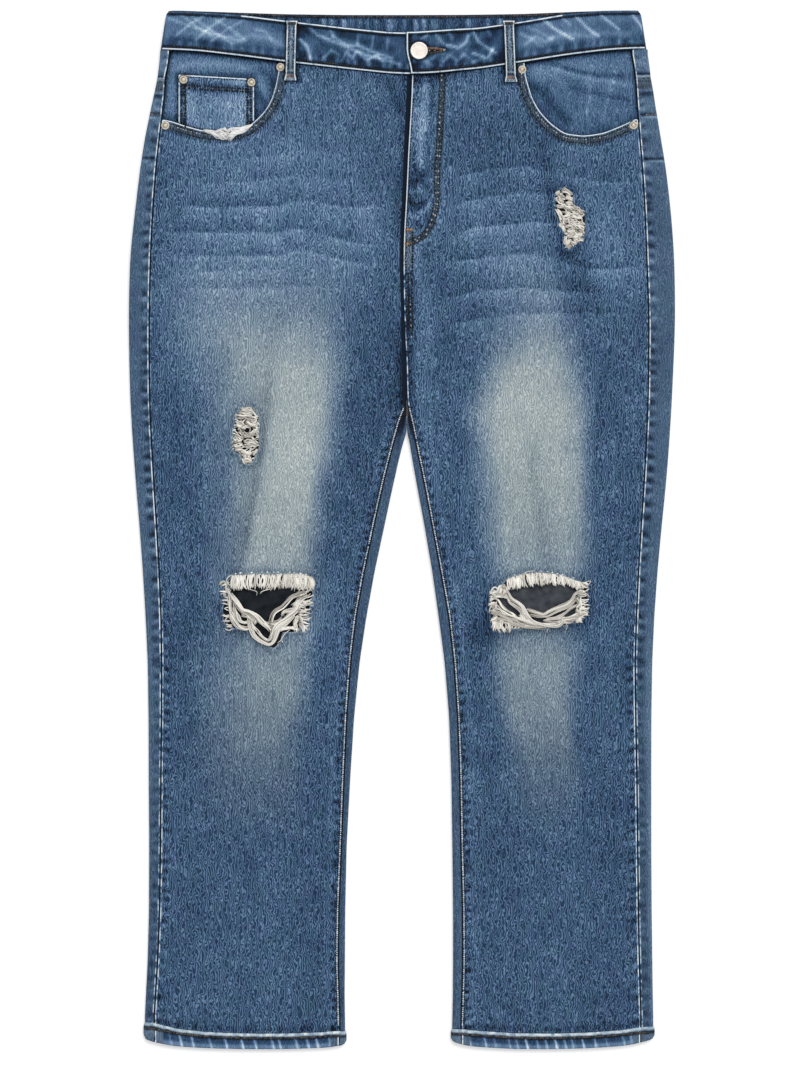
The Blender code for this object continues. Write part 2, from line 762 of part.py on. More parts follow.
def rivet(name, at, metal):
    x, down = at
    side = math.copysign(1, x)
    seam = abs(OUTSEAM[side](down))
    edges = [min(abs(x) + reach, seam) * side for reach in (-RIVET_RADIUS, RIVET_RADIUS)]
    base = max(front_mid(side, edge, down) for edge in edges) + CLOTH / 2 + GAP
    turned(name, RIVET_PROFILE, at, base, 20, metal)


def build():
    for obj in list(bpy.data.objects):
        bpy.data.objects.remove(obj)
    blue = plain("denim", (0.075, 0.14, 0.23))
    band = plain("denim band", (0.09, 0.16, 0.25))
    yarn = plain("cotton yarn", (0.74, 0.71, 0.62))
    metal = plain("plain metal", (0.62, 0.52, 0.46), 0.35, 1.0)
    brass = plain("zip metal", (0.55, 0.42, 0.22), 0.4, 1.0)
    for side in (RIGHT, LEFT):
        front_leg(side, blue)
        back_leg(side, blue)
        yoke(side, blue)
        hem(side, band)
        pocket_facing(side, blue)
        back_pocket(side, blue)
    waistband(band)
    coin_pocket(blue)
    for name, at in FRONT_LOOPS.items():
        front_loop(name, at, band)
    for name, x in BACK_LOOPS.items():
        back_loop(name, x, band)
    zip_tape(brass)
    threads("threads_knee_right", KNEE_RIGHT, KNEE_RIGHT_OPEN, yarn)
    threads("threads_knee_left", KNEE_LEFT, KNEE_LEFT_OPEN, yarn)
    threads("threads_thigh_right", THIGH_RIGHT, None, yarn)
    threads("threads_hip_left", HIP_LEFT, None, yarn)
    for name, at in RIVETS.items():
        rivet(name, at, metal)
    lapped = BAND_FRONT_MID + LAP_LIFT + BAND / 2
    turned("button", BUTTON_PROFILE, BUTTON_AT, lapped + GAP, 32, metal)


build()
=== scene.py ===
import math

import bmesh
import bpy
import numpy as np
from mathutils.bvhtree import BVHTree
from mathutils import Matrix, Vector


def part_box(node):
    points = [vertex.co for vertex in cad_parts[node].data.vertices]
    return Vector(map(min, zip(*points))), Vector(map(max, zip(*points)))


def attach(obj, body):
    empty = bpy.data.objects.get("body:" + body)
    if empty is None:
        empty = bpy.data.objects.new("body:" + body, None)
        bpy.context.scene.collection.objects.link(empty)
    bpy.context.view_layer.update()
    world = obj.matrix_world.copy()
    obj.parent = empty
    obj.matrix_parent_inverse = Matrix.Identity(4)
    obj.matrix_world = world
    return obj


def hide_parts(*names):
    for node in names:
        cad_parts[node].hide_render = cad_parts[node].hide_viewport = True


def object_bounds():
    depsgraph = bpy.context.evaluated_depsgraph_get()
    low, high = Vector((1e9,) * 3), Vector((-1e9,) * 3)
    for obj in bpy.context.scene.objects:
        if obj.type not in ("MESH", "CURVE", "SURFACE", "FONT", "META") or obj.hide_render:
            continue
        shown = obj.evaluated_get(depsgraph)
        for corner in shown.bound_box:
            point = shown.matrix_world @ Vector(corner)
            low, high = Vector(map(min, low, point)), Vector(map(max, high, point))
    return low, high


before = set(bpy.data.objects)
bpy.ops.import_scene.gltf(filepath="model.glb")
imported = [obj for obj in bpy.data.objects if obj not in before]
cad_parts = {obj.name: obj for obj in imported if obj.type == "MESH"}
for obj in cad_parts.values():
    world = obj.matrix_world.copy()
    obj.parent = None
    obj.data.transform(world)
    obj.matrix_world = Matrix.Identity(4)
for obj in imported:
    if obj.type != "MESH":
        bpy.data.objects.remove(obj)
cadLow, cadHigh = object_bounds()
zeroLine = -cadLow.y * 1000  # the garment is centred, so its lowest edge tells where "down" starts
right, left = -1, 1  # the wearer's sides: right is at negative x
sideNames = {right: "right", left: "left"}
farAway = 99.0
print("frame loaded:", len(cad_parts), "nodes")


# reading the solids

def solidPoints(name):
    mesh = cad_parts[name].data
    points = np.empty(len(mesh.vertices) * 3)
    mesh.vertices.foreach_get("co", points)
    points = points.reshape(-1, 3) * 1000
    points[:, 1] = zeroLine - points[:, 1]
    return points


def solidEdges(name):
    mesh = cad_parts[name].data
    ends = np.empty(len(mesh.edges) * 2, int)
    mesh.edges.foreach_get("vertices", ends)
    return solidPoints(name)[ends.reshape(-1, 2)]


def readEdge(names, axis, first, last, pick, within, blur=6.0, of=None):
    # the solids' outermost coordinate at stations along one axis (0 is x, 1 is down), as a smooth function
    of = 1 - axis if of is None else of
    edges = np.concatenate([solidEdges(name) for name in names])
    stations = np.arange(first, last, 2.0) + 0.013
    found = []
    for at in stations:
        start, end = edges[:, 0] * 1.0, edges[:, 1] * 1.0
        before, after = start[:, axis] - at, end[:, axis] - at
        hit = before * after < 0
        share = before[hit] / (before[hit] - after[hit])
        points = start[hit] + (end[hit] - start[hit]) * share[:, None]
        points = points[within(points)]
        found.append(pick(points[:, of]) if len(points) else np.nan)
    found = np.array(found)
    known = ~np.isnan(found)
    found = np.interp(stations, stations[known], found[known])
    reach = int(blur * 1.5)
    weights = np.exp(-0.5 * (np.arange(-reach, reach + 1) * 2.0 / blur) ** 2)
    padded = np.pad(found, reach, mode="reflect", reflect_type="odd")
    found = np.convolve(padded, weights / weights.sum(), mode="valid")
    return lambda where: np.interp(where, stations, found)


def outlineAt(name, height):
    # the solid's outline at one height, as separate segments of (x, down)
    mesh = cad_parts[name].data
    corners = np.empty(len(mesh.polygons) * 3, int)
    mesh.polygons.foreach_get("vertices", corners)
    triangles = solidPoints(name)[corners.reshape(-1, 3)]
    segments = []
    for triangle in triangles:
        above = triangle[:, 2] > height
        if above.all() or not above.any():
            continue
        lone = int(np.argmax(above)) if above.sum() == 1 else int(np.argmin(above))
        ends = []
        for other in ((lone + 1) % 3, (lone + 2) % 3):
            share = (height - triangle[lone, 2]) / (triangle[other, 2] - triangle[lone, 2])
            ends.append(triangle[lone, :2] + (triangle[other, :2] - triangle[lone, :2]) * share)
        segments.append(ends)
    return np.array(segments)


def segmentsOf(path):
    return np.stack([path[:-1], path[1:]], 1)


def isInside(x, down, segments):
    crossed = np.zeros(x.shape, int)
    for (x0, d0), (x1, d1) in segments:
        if d0 == d1:
            continue
        spans = (down >= min(d0, d1)) & (down < max(d0, d1))
        crossed += spans & (x < x0 + (x1 - x0) * (down - d0) / (d1 - d0))
    return crossed % 2 == 1


def nearestOn(x, down, segments):
    # distance to the segments, and the nearest point on them
    best = np.full(x.shape, 1e6)
    nearX, nearDown = x.copy(), down.copy()
    for start, end in segments:
        run = end - start
        length = float(run @ run)
        if length < 1e-9:
            continue
        share = np.clip(((x - start[0]) * run[0] + (down - start[1]) * run[1]) / length, 0, 1)
        px, pd = start[0] + run[0] * share, start[1] + run[1] * share
        away = np.hypot(x - px, down - pd)
        closer = away < best
        best = np.where(closer, away, best)
        nearX, nearDown = np.where(closer, px, nearX), np.where(closer, pd, nearDown)
    return best, nearX, nearDown


def distanceNear(x, down, segments, close):
    # the distance to the segments for the points that are close, and far away for the rest
    away = np.full(x.shape, farAway)
    away[close] = nearestOn(x[close], down[close], segments)[0]
    return away


def box(name):
    low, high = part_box(name)
    return low.x * 1000, high.x * 1000, zeroLine - high.y * 1000, zeroLine - low.y * 1000


def inBox(x, down, area, margin):
    x0, x1, d0, d1 = area
    return (x > x0 - margin) & (x < x1 + margin) & (down > d0 - margin) & (down < d1 + margin)


def ripRim(side, rip):
    # the edge of the front panel round one rip, as segments
    area = box(rip)
    outline = outlineAt("front_leg_" + sideNames[side], cloth["cutHeights"][area[2] < 300])
    ends = outline.reshape(-1, 4)
    return outline[inBox(ends[:, 0::2], ends[:, 1::2], area, 2).all(1)]


# smooth shapes and chance

def ease(low, high, value):
    share = np.clip((value - low) / (high - low), 0, 1)
    return share * share * (3 - 2 * share)


def soft(distance, at, wide, power=2):
    # 1 at one distance, falling off softly on both sides
    return np.exp(-(((distance - at) / wide) ** power))


def linesAt(distance, lines):
    # soft lines at distances from an edge, each (distance, change of tone, width)
    return sum(change * soft(distance, at, wide) for at, change, wide in lines)


def drift(x, down, wide, tall, seed):
    # a smooth random field of about -1 to 1, with patches of the given size
    lattice = np.random.default_rng(seed).uniform(-1, 1, (128, 128))
    u, v = x / wide + 60, down / tall + 7
    i, j = np.floor(u).astype(int), np.floor(v).astype(int)
    fu, fv = ease(0, 1, u - i), ease(0, 1, v - j)
    i, j = i % 127, j % 127
    near = lattice[i, j] * (1 - fu) + lattice[i + 1, j] * fu
    far = lattice[i, j + 1] * (1 - fu) + lattice[i + 1, j + 1] * fu
    return near * (1 - fv) + far * fv


def spots(along, look, least, most):
    # uneven places along a seam, and for each point the number of the one nearest to it
    chance = np.random.default_rng(look["seed"])
    count = int(1500 / look["pitch"])
    centres = np.cumsum(look["pitch"] * chance.uniform(least, most, count)) - 320
    return chance, count, centres, np.clip(np.searchsorted(centres, along), 1, count - 2)


def puckers(along, away, look):
    # 0 to 1: short ridges across a seam, uneven in spacing, reach and slant
    chance, count, centres, nearest = spots(along, look, 0.55, 1.45)
    reach = look["reach"] * chance.uniform(0.55, 1.3, count)
    slant = chance.uniform(-1, 1, count) * look["slant"]
    height = chance.uniform(0.35, 1, count)
    total = np.zeros(np.shape(along))
    for step in (-1, 0, 1):
        k = nearest + step
        offset = (along - centres[k] - slant[k] * away) / (look["pitch"] * look["breadth"])
        total += height[k] * np.exp(-(offset ** 2) - (away / reach[k]) ** 2)
    return np.clip(total, 0, 1)


def puckerShadeAndRubs(along, away, look):
    # the change of tone from a seam's puckers: painted shade in small hollow places at uneven distances,
    # rubbed places between
    chance, count, centres, nearest = spots(along, look, 0.6, 1.4)
    at = look["at"] * chance.uniform(0.75, 1.3, (2, count))
    wide = look["wide"] * chance.uniform(0.65, 1.2, (2, count))
    depth = chance.uniform(0.35, 1, (2, count))
    tilt = chance.uniform(-0.35, 0.35, count)
    total = np.zeros(np.shape(along))
    for step in (-1, 0, 1):
        k = nearest + step
        offset = along - centres[k] - tilt[k] * away
        dark = (offset / (0.25 * look["pitch"])) ** 2 + ((away - at[0, k]) / wide[0, k]) ** 2
        light = (offset / (0.22 * look["pitch"]) - 2.2) ** 2 + ((away - at[1, k]) / wide[1, k]) ** 2
        total += look["light"] * depth[1, k] * np.exp(-light) - look["dark"] * depth[0, k] * np.exp(-dark)
    return total


# the garment's own lines, read from the solids

def topLayer(points):
    hips = 1 - ease(305, 350, points[:, 1])
    return (points[:, 2] > 1.5 * hips + 1.5) & (np.abs(points[:, 0]) > 150)


everywhere = lambda points: points[:, 2] > -9
frontBand = lambda points: points[:, 2] > 5
backBand = lambda points: points[:, 2] < 4
hemTopLayer = lambda points: points[:, 2] > 3
outer, inner = {right: np.min, left: np.max}, {right: np.max, left: np.min}
outFold, outSeam, frontInner, centreBack, inFold, hemTop, hemBottom = {}, {}, {}, {}, {}, {}, {}
for side, word in sideNames.items():
    backs = ["back_leg_" + word, "yoke_" + word]
    outFold[side] = readEdge(backs, 1, 44, 1006, outer[side], everywhere)
    outSeam[side] = readEdge(backs, 1, 44, 1006, inner[side], topLayer)
    frontInner[side] = readEdge(["front_leg_" + word], 1, 68, 1016, inner[side], everywhere)
    centreBack[side] = readEdge(backs, 1, 50, 400, inner[side], everywhere)
    inFold[side] = readEdge(["back_leg_" + word], 1, 408, 1016, inner[side], everywhere)
    low, high = box("hem_" + word)[:2]
    hemTop[side] = readEdge(["hem_" + word], 0, low + 9, high - 9, np.min, hemTopLayer)
    hemBottom[side] = readEdge(["hem_" + word], 0, low + 6, high - 6, np.max, hemTopLayer)
band = ["waistband"]
backSplit, insideFold = dict(centreBack), dict(inFold)


def centreBackAt(side, down):
    middle = (backSplit[right](down) + backSplit[left](down)) / 2
    share = 1 - ease(340, 385, down)
    return middle + (backSplit[side](down) - middle) * share + side * 0.1


def inFoldAt(side, down):
    # the legs touch for the first centimetre below the fork
    middle = (insideFold[right](down) + insideFold[left](down)) / 2
    share = ease(413, 432, down)
    return middle + (insideFold[side](down) - middle) * share + side * 0.1


bandTop = readEdge(band, 0, -228, 230, np.min, frontBand)
bandSeam = readEdge(band, 0, -236, 238, np.max, frontBand)
backTop = readEdge(band, 0, -228, 230, np.min, backBand)
backSeam = readEdge(band, 0, -236, 238, np.max, backBand)
yokeSeam = readEdge(["back_leg_right", "back_leg_left"], 0, -234, 234, np.min, everywhere)
print("seam lines read")

cloth = {
    "wall": 1.1,
    "halfWall": 0.6,  # of the solids
    "gap": 0.3,
    "seatLift": 1.5,  # the seat lies on its back pockets
    "foldRadius": (2.6, 2.9),  # legs, hips
    "frontMid": (2.1, 5.1, 4.6),  # legs, hips, hem
    "cutHeights": (2.1, 5.3),  # where the solids' holes are read: legs, hips
    "outseamRise": 0.9,
    "inseamRise": 1.5,
    "flyLift": 1.8,
    "frontRow": 45,
    "backRow": 72,
    "levelRows": (250, 950),
    "lastRow": 1018,
    "crotch": 394.0,
    "fork": 405.0,
    "flyEnd": 222.0,
}


def hips(down):
    return 1 - ease(305, 350, down)


def nearHem(down):
    return ease(905, 1005, down)


def outerEdge(side, down):
    return outSeam[side](down) - side * cloth["gap"]


def frontMid(side, x, down):
    # mid height of a front panel
    leg, hip, hem = cloth["frontMid"]
    height = leg + (hip - leg) * hips(down)
    height = height + (hem - height) * nearHem(down)
    flat = 1 - nearHem(down)
    outward = np.abs(x - outerEdge(side, down))
    inward = np.abs(x - frontInner[side](down))
    rise = cloth["inseamRise"] * ease(cloth["flyEnd"] + 4, cloth["flyEnd"] + 60, down)
    height = height + cloth["outseamRise"] * flat * (1 - ease(0, 22, outward))
    height = height + rise * flat * (1 - ease(0, 22, inward))
    if side == left:
        lapped = 1 - ease(cloth["flyEnd"] + 8, cloth["flyEnd"] + 40, down)
        height = height + cloth["flyLift"] * lapped * (1 - ease(14, 40, inward))
    return height


def frontTop(side, x, down):
    # the upper side of a front panel
    return frontMid(side, x, down) + cloth["halfWall"]


def warp(row, top, bottom, first):
    # rows slant towards the waist at their upper end and follow the hem at their lower end
    waistEnds, hemStarts, last = cloth["levelRows"][0], cloth["levelRows"][1], cloth["lastRow"]
    upper = top + (row - first) / (waistEnds - first) * (waistEnds - top)
    lower = hemStarts + (row - hemStarts) / (last - hemStarts) * (bottom - hemStarts)
    return np.where(row < waistEnds, upper, np.where(row > hemStarts, lower, row))


def spacing(length, fine, pitch):
    # stations from 0 to length, close together at both ends
    middle = np.linspace(fine[-1], length - fine[-1], max(2, int((length - 2 * fine[-1]) / pitch)))
    return np.concatenate([fine[:-1], middle, length - np.array(fine[:-1])[::-1]])


# materials

def linear(hexColour):
    # sRGB hex to linear
    channels = [int(hexColour[k : k + 2], 16) / 255 for k in (1, 3, 5)]
    return tuple(c / 12.92 if c <= 0.04045 else ((c + 0.055) / 1.055) ** 2.4 for c in channels) + (1,)


def addNode(tree, kind, links=None, ramp=None, **settings):
    node = tree.nodes.new(kind)
    for key, value in settings.items():
        setattr(node, key, value)
    for socket, value in (links or {}).items():
        if isinstance(value, bpy.types.NodeSocket):
            tree.links.new(value, node.inputs[socket])
        else:
            node.inputs[socket].default_value = value
    for index, (at, colour) in enumerate(ramp or []):
        elements = node.color_ramp.elements
        element = elements[index] if index < 2 else elements.new(at)
        element.position = at
        element.color = linear(colour)
    return node


def startMaterial(name, **values):
    material = bpy.data.materials.new(name)
    material.use_nodes = True
    shader = material.node_tree.nodes["Principled BSDF"]
    for socket, value in values.items():
        shader.inputs[socket.replace("_", " ")].default_value = value
    return material, material.node_tree, shader


# Washed denim runs from deep indigo through mid blue to nearly white where the dye has rubbed off.
# The ramp is read by lightness, 0 to 1.
indigo = [
    (0.0, "#050a12"), (1.0, "#fbfbf8"), (0.1, "#0f1c2e"), (0.16, "#1b2d44"), (0.24, "#294059"),
    (0.335, "#3e5876"), (0.43, "#57708c"), (0.53, "#708ba8"), (0.63, "#8aa3bc"), (0.8, "#bccfdf"),
]
# Where it is sanded, the weft shows and the colour turns to a warm grey.
sanded = [
    (0.0, "#0a0d10"), (1.0, "#fbfbf6"), (0.16, "#252d33"), (0.28, "#3f4a52"), (0.42, "#62707a"),
    (0.54, "#7f8c93"), (0.67, "#a1adaf"), (0.72, "#b0babc"), (0.85, "#d2d5d0"),
]
twill = {
    "crinkle": 2.4,  # mm from one crinkle to the next
    "bend": 3.9,  # mm from one bend of a crinkle to the next
    "wander": 3.7,  # how many crinkles it strays across
    "straight": 12.0,  # mm across the places where they run straight
    "lineLift": 0.262,
    "speckle": 1.4,
    "speckleLift": 0.09,
    "slubWidth": 1.4,
    "slubLift": 0.16,
    "cloud": 24.0,
    "cloudLift": 0.10,
    "dips": 6.0,  # mm between the places where a rubbed edge breaks off
    "rubbedTone": 0.92,
    # the tone of the painted shade in sunken seam lines
    "grooveShadeTone": 0.07,
    "tints": 17.0,
    "saturation": 1.07,
}


def denimMaterial(name, grain):
    # Indigo twill of ring spun yarn, washed with stones: a rough dry cloth. Its crinkled high lines have
    # lost their dye, so they show as thin light worms, with longer upright streaks of thick yarn.
    finish = {"Roughness": 0.9, "Sheen_Weight": 0.06, "Sheen_Roughness": 0.6, "Specular_IOR_Level": 0.15}
    material, tree, shader = startMaterial(name, **finish)
    made = {"place": addNode(tree, "ShaderNodeTexCoord").outputs["Object"]}
    for key in ("tone", "fade", "edge", "wear", "calm"):
        made[key] = addNode(tree, "ShaderNodeAttribute", attribute_name=key).outputs["Fac"]
    for key, stretch in (("upright", 0.62), ("slub", 0.08)):
        links = {"Vector": made["place"], "Scale": (1, stretch, 1)}
        made[key] = addNode(tree, "ShaderNodeMapping", links).outputs[0]
    made["across"] = addNode(tree, "ShaderNodeSeparateXYZ", {0: made["place"]}).outputs[0]
    # fields of noise: what each is laid on, its size in mm and its detail
    fields = {
        "straight": ("upright", twill["straight"], 1.0),
        "bend": ("upright", twill["bend"], 1.0),
        "speck": ("upright", twill["speckle"], 1.0),
        "yarn": ("slub", twill["slubWidth"], 1.0),
        "cloud": ("place", twill["cloud"], 2.0),
        "dips": ("place", twill["dips"], 1.0),
        "tints": ("place", twill["tints"], 1.0),
    }
    for key, (vector, size, detail) in fields.items():
        links = {"Vector": made[vector], "Scale": 1000 / size, "Detail": detail, "Roughness": 0.6}
        made[key] = addNode(tree, "ShaderNodeTexNoise", links).outputs["Fac"]
    # each step makes one value out of earlier ones: ranges are (value, from, from, to, to)
    steps = [
        # crinkles run upright and wind about as thin light lines, with darker cloth between them
        ("loose", "SMOOTHSTEP", "straight", 0.34, 0.48, 0.5, 1.0),
        ("winding", "MULTIPLY", "bend", twill["wander"]),
        ("winding", "MULTIPLY", "winding", "loose"),
        ("turns", "MULTIPLY_ADD", "across", 1000 / twill["crinkle"], "winding"),
        ("turns", "PINGPONG", "turns", 0.5),
        ("line", "SMOOTHSTEP", "turns", 0.14, 0.44),
        ("speckle", "SUBTRACT", "speck", 0.5),
        ("streak", "SUBTRACT", "yarn", 0.5),
        # the crinkles are stronger in some places than in others
        ("strength", "MULTIPLY_ADD", "cloud", 0.8, 0.6),
        ("texture", "SUBTRACT", "line", 0.49),
        ("texture", "MULTIPLY", "texture", twill["lineLift"]),
        ("texture", "MULTIPLY", "texture", "strength"),
        ("texture", "MULTIPLY_ADD", "speckle", twill["speckleLift"], "texture"),
        ("texture", "MULTIPLY_ADD", "streak", twill["slubLift"], "texture"),
        # sanding wears it smooth, and so does pressing
        ("rough", "MULTIPLY_ADD", "fade", -0.35 * grain, grain),
        ("pressed", "SUBTRACT", 1.0, "calm"),
        ("rough", "MULTIPLY", "rough", "pressed"),
        ("tone", "MULTIPLY_ADD", "texture", "rough", "tone"),
        ("haze", "SUBTRACT", "cloud", 0.5),
        ("tone", "MULTIPLY_ADD", "haze", twill["cloudLift"] * grain, "tone"),
        # the rubbed line beside a seam's edge, broken where the cloth dips, and painted shade in the sunken
        # seam line
        ("broken", "LINEAR", "dips", 0.36, 0.6, -1.0, 0.0),
        ("unbroken", "ADD", "broken", "wear"),
        ("rubbed", "SMOOTHSTEP", "edge", 1.55, 0.85),
        ("rubbed", "MULTIPLY", "rubbed", "unbroken"),
        ("lift", "SUBTRACT", twill["rubbedTone"], "tone"),
        ("tone", "MULTIPLY_ADD", "rubbed", "lift", "tone"),
        ("grooveShade", "SMOOTHSTEP", "edge", 0.35, -0.1),
        ("grooveShadeDrop", "SUBTRACT", twill["grooveShadeTone"], "tone"),
        ("tone", "MULTIPLY_ADD", "grooveShade", "grooveShadeDrop", "tone"),
        # a slow drift of hue between green blue and violet blue
        ("hue", "MULTIPLY_ADD", "tints", 0.035, 0.4845),
        ("height", "MULTIPLY_ADD", "speckle", 0.6, "line"),
    ]
    for key, operation, *values in steps:
        values = [made.get(value, value) for value in values]
        if operation in ("LINEAR", "SMOOTHSTEP"):
            links = dict(zip(("Value", "From Min", "From Max", "To Min", "To Max"), values))
            node = addNode(tree, "ShaderNodeMapRange", links, interpolation_type=operation)
        else:
            settings = {"operation": operation, "use_clamp": key == "unbroken"}
            node = addNode(tree, "ShaderNodeMath", dict(enumerate(values)), **settings)
        made[key] = node.outputs[0]
    blue = addNode(tree, "ShaderNodeValToRGB", {"Fac": made["tone"]}, ramp=indigo)
    grey = addNode(tree, "ShaderNodeValToRGB", {"Fac": made["tone"]}, ramp=sanded)
    colours = {0: made["fade"], 6: blue.outputs[0], 7: grey.outputs[0]}
    shown = addNode(tree, "ShaderNodeMix", colours, data_type="RGBA")
    links = {"Hue": made["hue"], "Saturation": twill["saturation"], "Color": shown.outputs[2]}
    tinted = addNode(tree, "ShaderNodeHueSaturation", links)
    tree.links.new(tinted.outputs[0], shader.inputs["Base Color"])
    bump = addNode(tree, "ShaderNodeBump", {"Strength": 0.35, "Distance": 0.00025, "Height": made["height"]})
    tree.links.new(bump.outputs[0], shader.inputs["Normal"])
    return material


def cloudyMaterial(name, dark, light, size, stops, **values):
    # two shades in soft places of a given size in mm
    material, tree, shader = startMaterial(name, **values)
    place = addNode(tree, "ShaderNodeTexCoord").outputs["Object"]
    places = addNode(tree, "ShaderNodeTexNoise", {"Vector": place, "Scale": 1000 / size, "Detail": 3.0})
    ramp = [(stops[0], dark), (stops[1], light)]
    shown = addNode(tree, "ShaderNodeValToRGB", {"Fac": places.outputs["Fac"]}, ramp=ramp)
    tree.links.new(shown.outputs[0], shader.inputs["Base Color"])
    return material


def shadedInsideMaterial(name, dark, light):
    # The wrong side of the twill, painted nearly black for the shade it lies in: flat and dull, with cloudy
    # lint.
    return cloudyMaterial(name, dark, light, 9.0, (0.3, 0.72), Roughness=0.95, Specular_IOR_Level=0.1)


def metalMaterial(name, dark, light, roughness, metallic):
    # Tumbled plate metal: a fine satin that spreads the highlight, with small dull places.
    return cloudyMaterial(name, dark, light, 2.5, (0.3, 0.55), Roughness=roughness, Metallic=metallic)


def yarnMaterial(name, dark, light):
    # Spun yarn: soft and matt. Each strand or stitch has its own shade between two colours, so that a fringe
    # or a row of stitches reads as single threads. On the frayed cotton and lining the darker colour
    # is painted shade between the strands.
    finish = {"Roughness": 0.85, "Sheen_Weight": 0.1, "Specular_IOR_Level": 0.2}
    material, tree, shader = startMaterial(name, **finish)
    shade = addNode(tree, "ShaderNodeAttribute", attribute_name="shade").outputs["Fac"]
    colour = addNode(tree, "ShaderNodeValToRGB", {"Fac": shade}, ramp=[(0.0, dark), (1.0, light)])
    tree.links.new(colour.outputs[0], shader.inputs["Base Color"])
    return material


denim = denimMaterial("denim twill, stone washed", 1.0)
denimInside = denimMaterial("denim twill, wrong side", 0.7)
pressed = denimMaterial("denim twill, folded and pressed", 0.36)
shadedInsides = {
    right: shadedInsideMaterial("denim twill inside the right leg, painted shade", "#14181c", "#2a2e33"),
    left: shadedInsideMaterial("denim twill inside the left leg, painted shade", "#30343a", "#50545a"),
}
# the darker colours of the cotton and the lining are painted shade between strands
cotton = yarnMaterial("cotton weft yarn, unbleached, painted shade between strands", "#6f685c", "#fffcf4")
lining = yarnMaterial("cotton lining, bleached and torn", "#a9a8a4", "#ffffff")
threads = {
    "navy": yarnMaterial("polyester thread, navy", "#060a10", "#1a2430"),
    "brown": yarnMaterial("polyester thread, tobacco faded", "#191817", "#5c544c"),
    "pale": yarnMaterial("polyester thread, pale lint", "#aab8c4", "#f8fafa"),
    "grey": yarnMaterial("polyester thread, grey lint", "#3f464f", "#bcc0c3"),
    "orange": yarnMaterial("polyester thread, orange", "#84593a", "#d09e66"),
    "rust": yarnMaterial("polyester thread, rust", "#4a3d37", "#a3806a"),
}
rivetPlate = metalMaterial("nickel plate, aged", "#a0978a", "#d6cec0", 0.45, 0.2)
plate = metalMaterial("nickel plate, pale, tumbled", "#efe0d4", "#fbf3ea", 0.42, 0.15)
plateRim = metalMaterial("nickel plate, bright rim", "#f4ece2", "#fffaf2", 0.35, 0.15)
plateDark = metalMaterial("nickel plate, tarnished", "#7d7464", "#a89d8a", 0.5, 0.3)
# the dark ring round the foot of the button and of each rivet is painted shadow
shadowed = metalMaterial("steel, oxidised", "#0b0d12", "#15181f", 0.6, 0.3)


# making pieces

def addPiece(name, mesh, materials):
    for material in materials:
        mesh.materials.append(material)
    mesh.shade_smooth()
    obj = bpy.data.objects.new(name, mesh)
    bpy.context.scene.collection.objects.link(obj)
    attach(obj, "root")
    return obj


def makeCloth(name, x, down, z, looks, wall, materials, flip, removed=None, closed=False):
    # a grid of points given as arrays of rows and columns, with its looks on the points and a wall
    rows, columns = x.shape
    bm = bmesh.new()
    bmesh.ops.create_grid(bm, x_segments=columns - 1, y_segments=rows - 1, size=1)
    if removed is not None:
        gone = []
        for face in bm.faces:
            middle = face.calc_center_median()
            row = int((middle.y + 1) / 2 * (rows - 1))
            column = int((middle.x + 1) / 2 * (columns - 1))
            if removed[row, column]:
                gone.append(face)
        bmesh.ops.delete(bm, geom=gone, context="FACES")
    mesh = bpy.data.meshes.new(name)
    bm.to_mesh(mesh)
    places = np.empty(len(mesh.vertices) * 3)
    mesh.vertices.foreach_get("co", places)
    places = places.reshape(-1, 3)
    column = np.rint((places[:, 0] + 1) / 2 * (columns - 1)).astype(int)
    row = np.rint((places[:, 1] + 1) / 2 * (rows - 1)).astype(int)
    moved = np.stack([x[row, column], zeroLine - down[row, column], z[row, column]], 1) / 1000
    mesh.vertices.foreach_set("co", moved.ravel())
    full = {"tone": 0.4, "fade": 0.0, "edge": 99.0, "wear": 0.0, "calm": 0.0}
    full.update(looks)
    for key, values in full.items():
        values = np.broadcast_to(values, x.shape)[row, column]
        mesh.attributes.new(key, "FLOAT", "POINT").data.foreach_set("value", values.astype(float))
    if flip:
        mesh.flip_normals()
    if closed:
        bm.clear()
        bm.from_mesh(mesh)
        bmesh.ops.remove_doubles(bm, verts=bm.verts[:], dist=1e-6)
        bm.to_mesh(mesh)
    bm.free()
    mesh.update()
    obj = addPiece(name, mesh, materials)
    solidify = obj.modifiers.new("wall", "SOLIDIFY")
    solidify.thickness = wall / 1000
    solidify.offset = -1
    solidify.material_offset = len(materials) - 1
    return obj


def rubsAndShadeLines(x, down, lines):
    # listed creases: each a list of (x, down), with how wide and how strong its soft line is; light lines are
    # rubbed, dark ones are painted shade
    total = np.zeros(x.shape)
    for points, width, strength in lines:
        points = np.array(points, float)
        (x0, d0), (x1, d1) = points.min(0), points.max(0)
        near = inBox(x, down, (x0, x1, d0, d1), 4 * width)
        if near.any():
            away = nearestOn(x[near], down[near], segmentsOf(points))[0]
            total[near] += strength * soft(away, 0, width)
    return total


def shadeBeside(x, down, boxes):
    # painted shadow: 1 right beside the pieces that lie on this one, fading over two millimetres
    shade = np.zeros(x.shape)
    for x0, x1, d0, d1 in boxes:
        across = np.maximum(np.maximum(x0 - x, x - x1), 0)
        along = np.maximum(np.maximum(d0 - down, down - d1), 0)
        shade = np.maximum(shade, np.exp(-((np.hypot(across, along) / 2.2) ** 2)))
    return shade


def runOf(points):
    # the length along a path at each of its points
    return np.concatenate([[0], np.cumsum(np.hypot(*np.diff(points[:, :2], axis=0).T))])


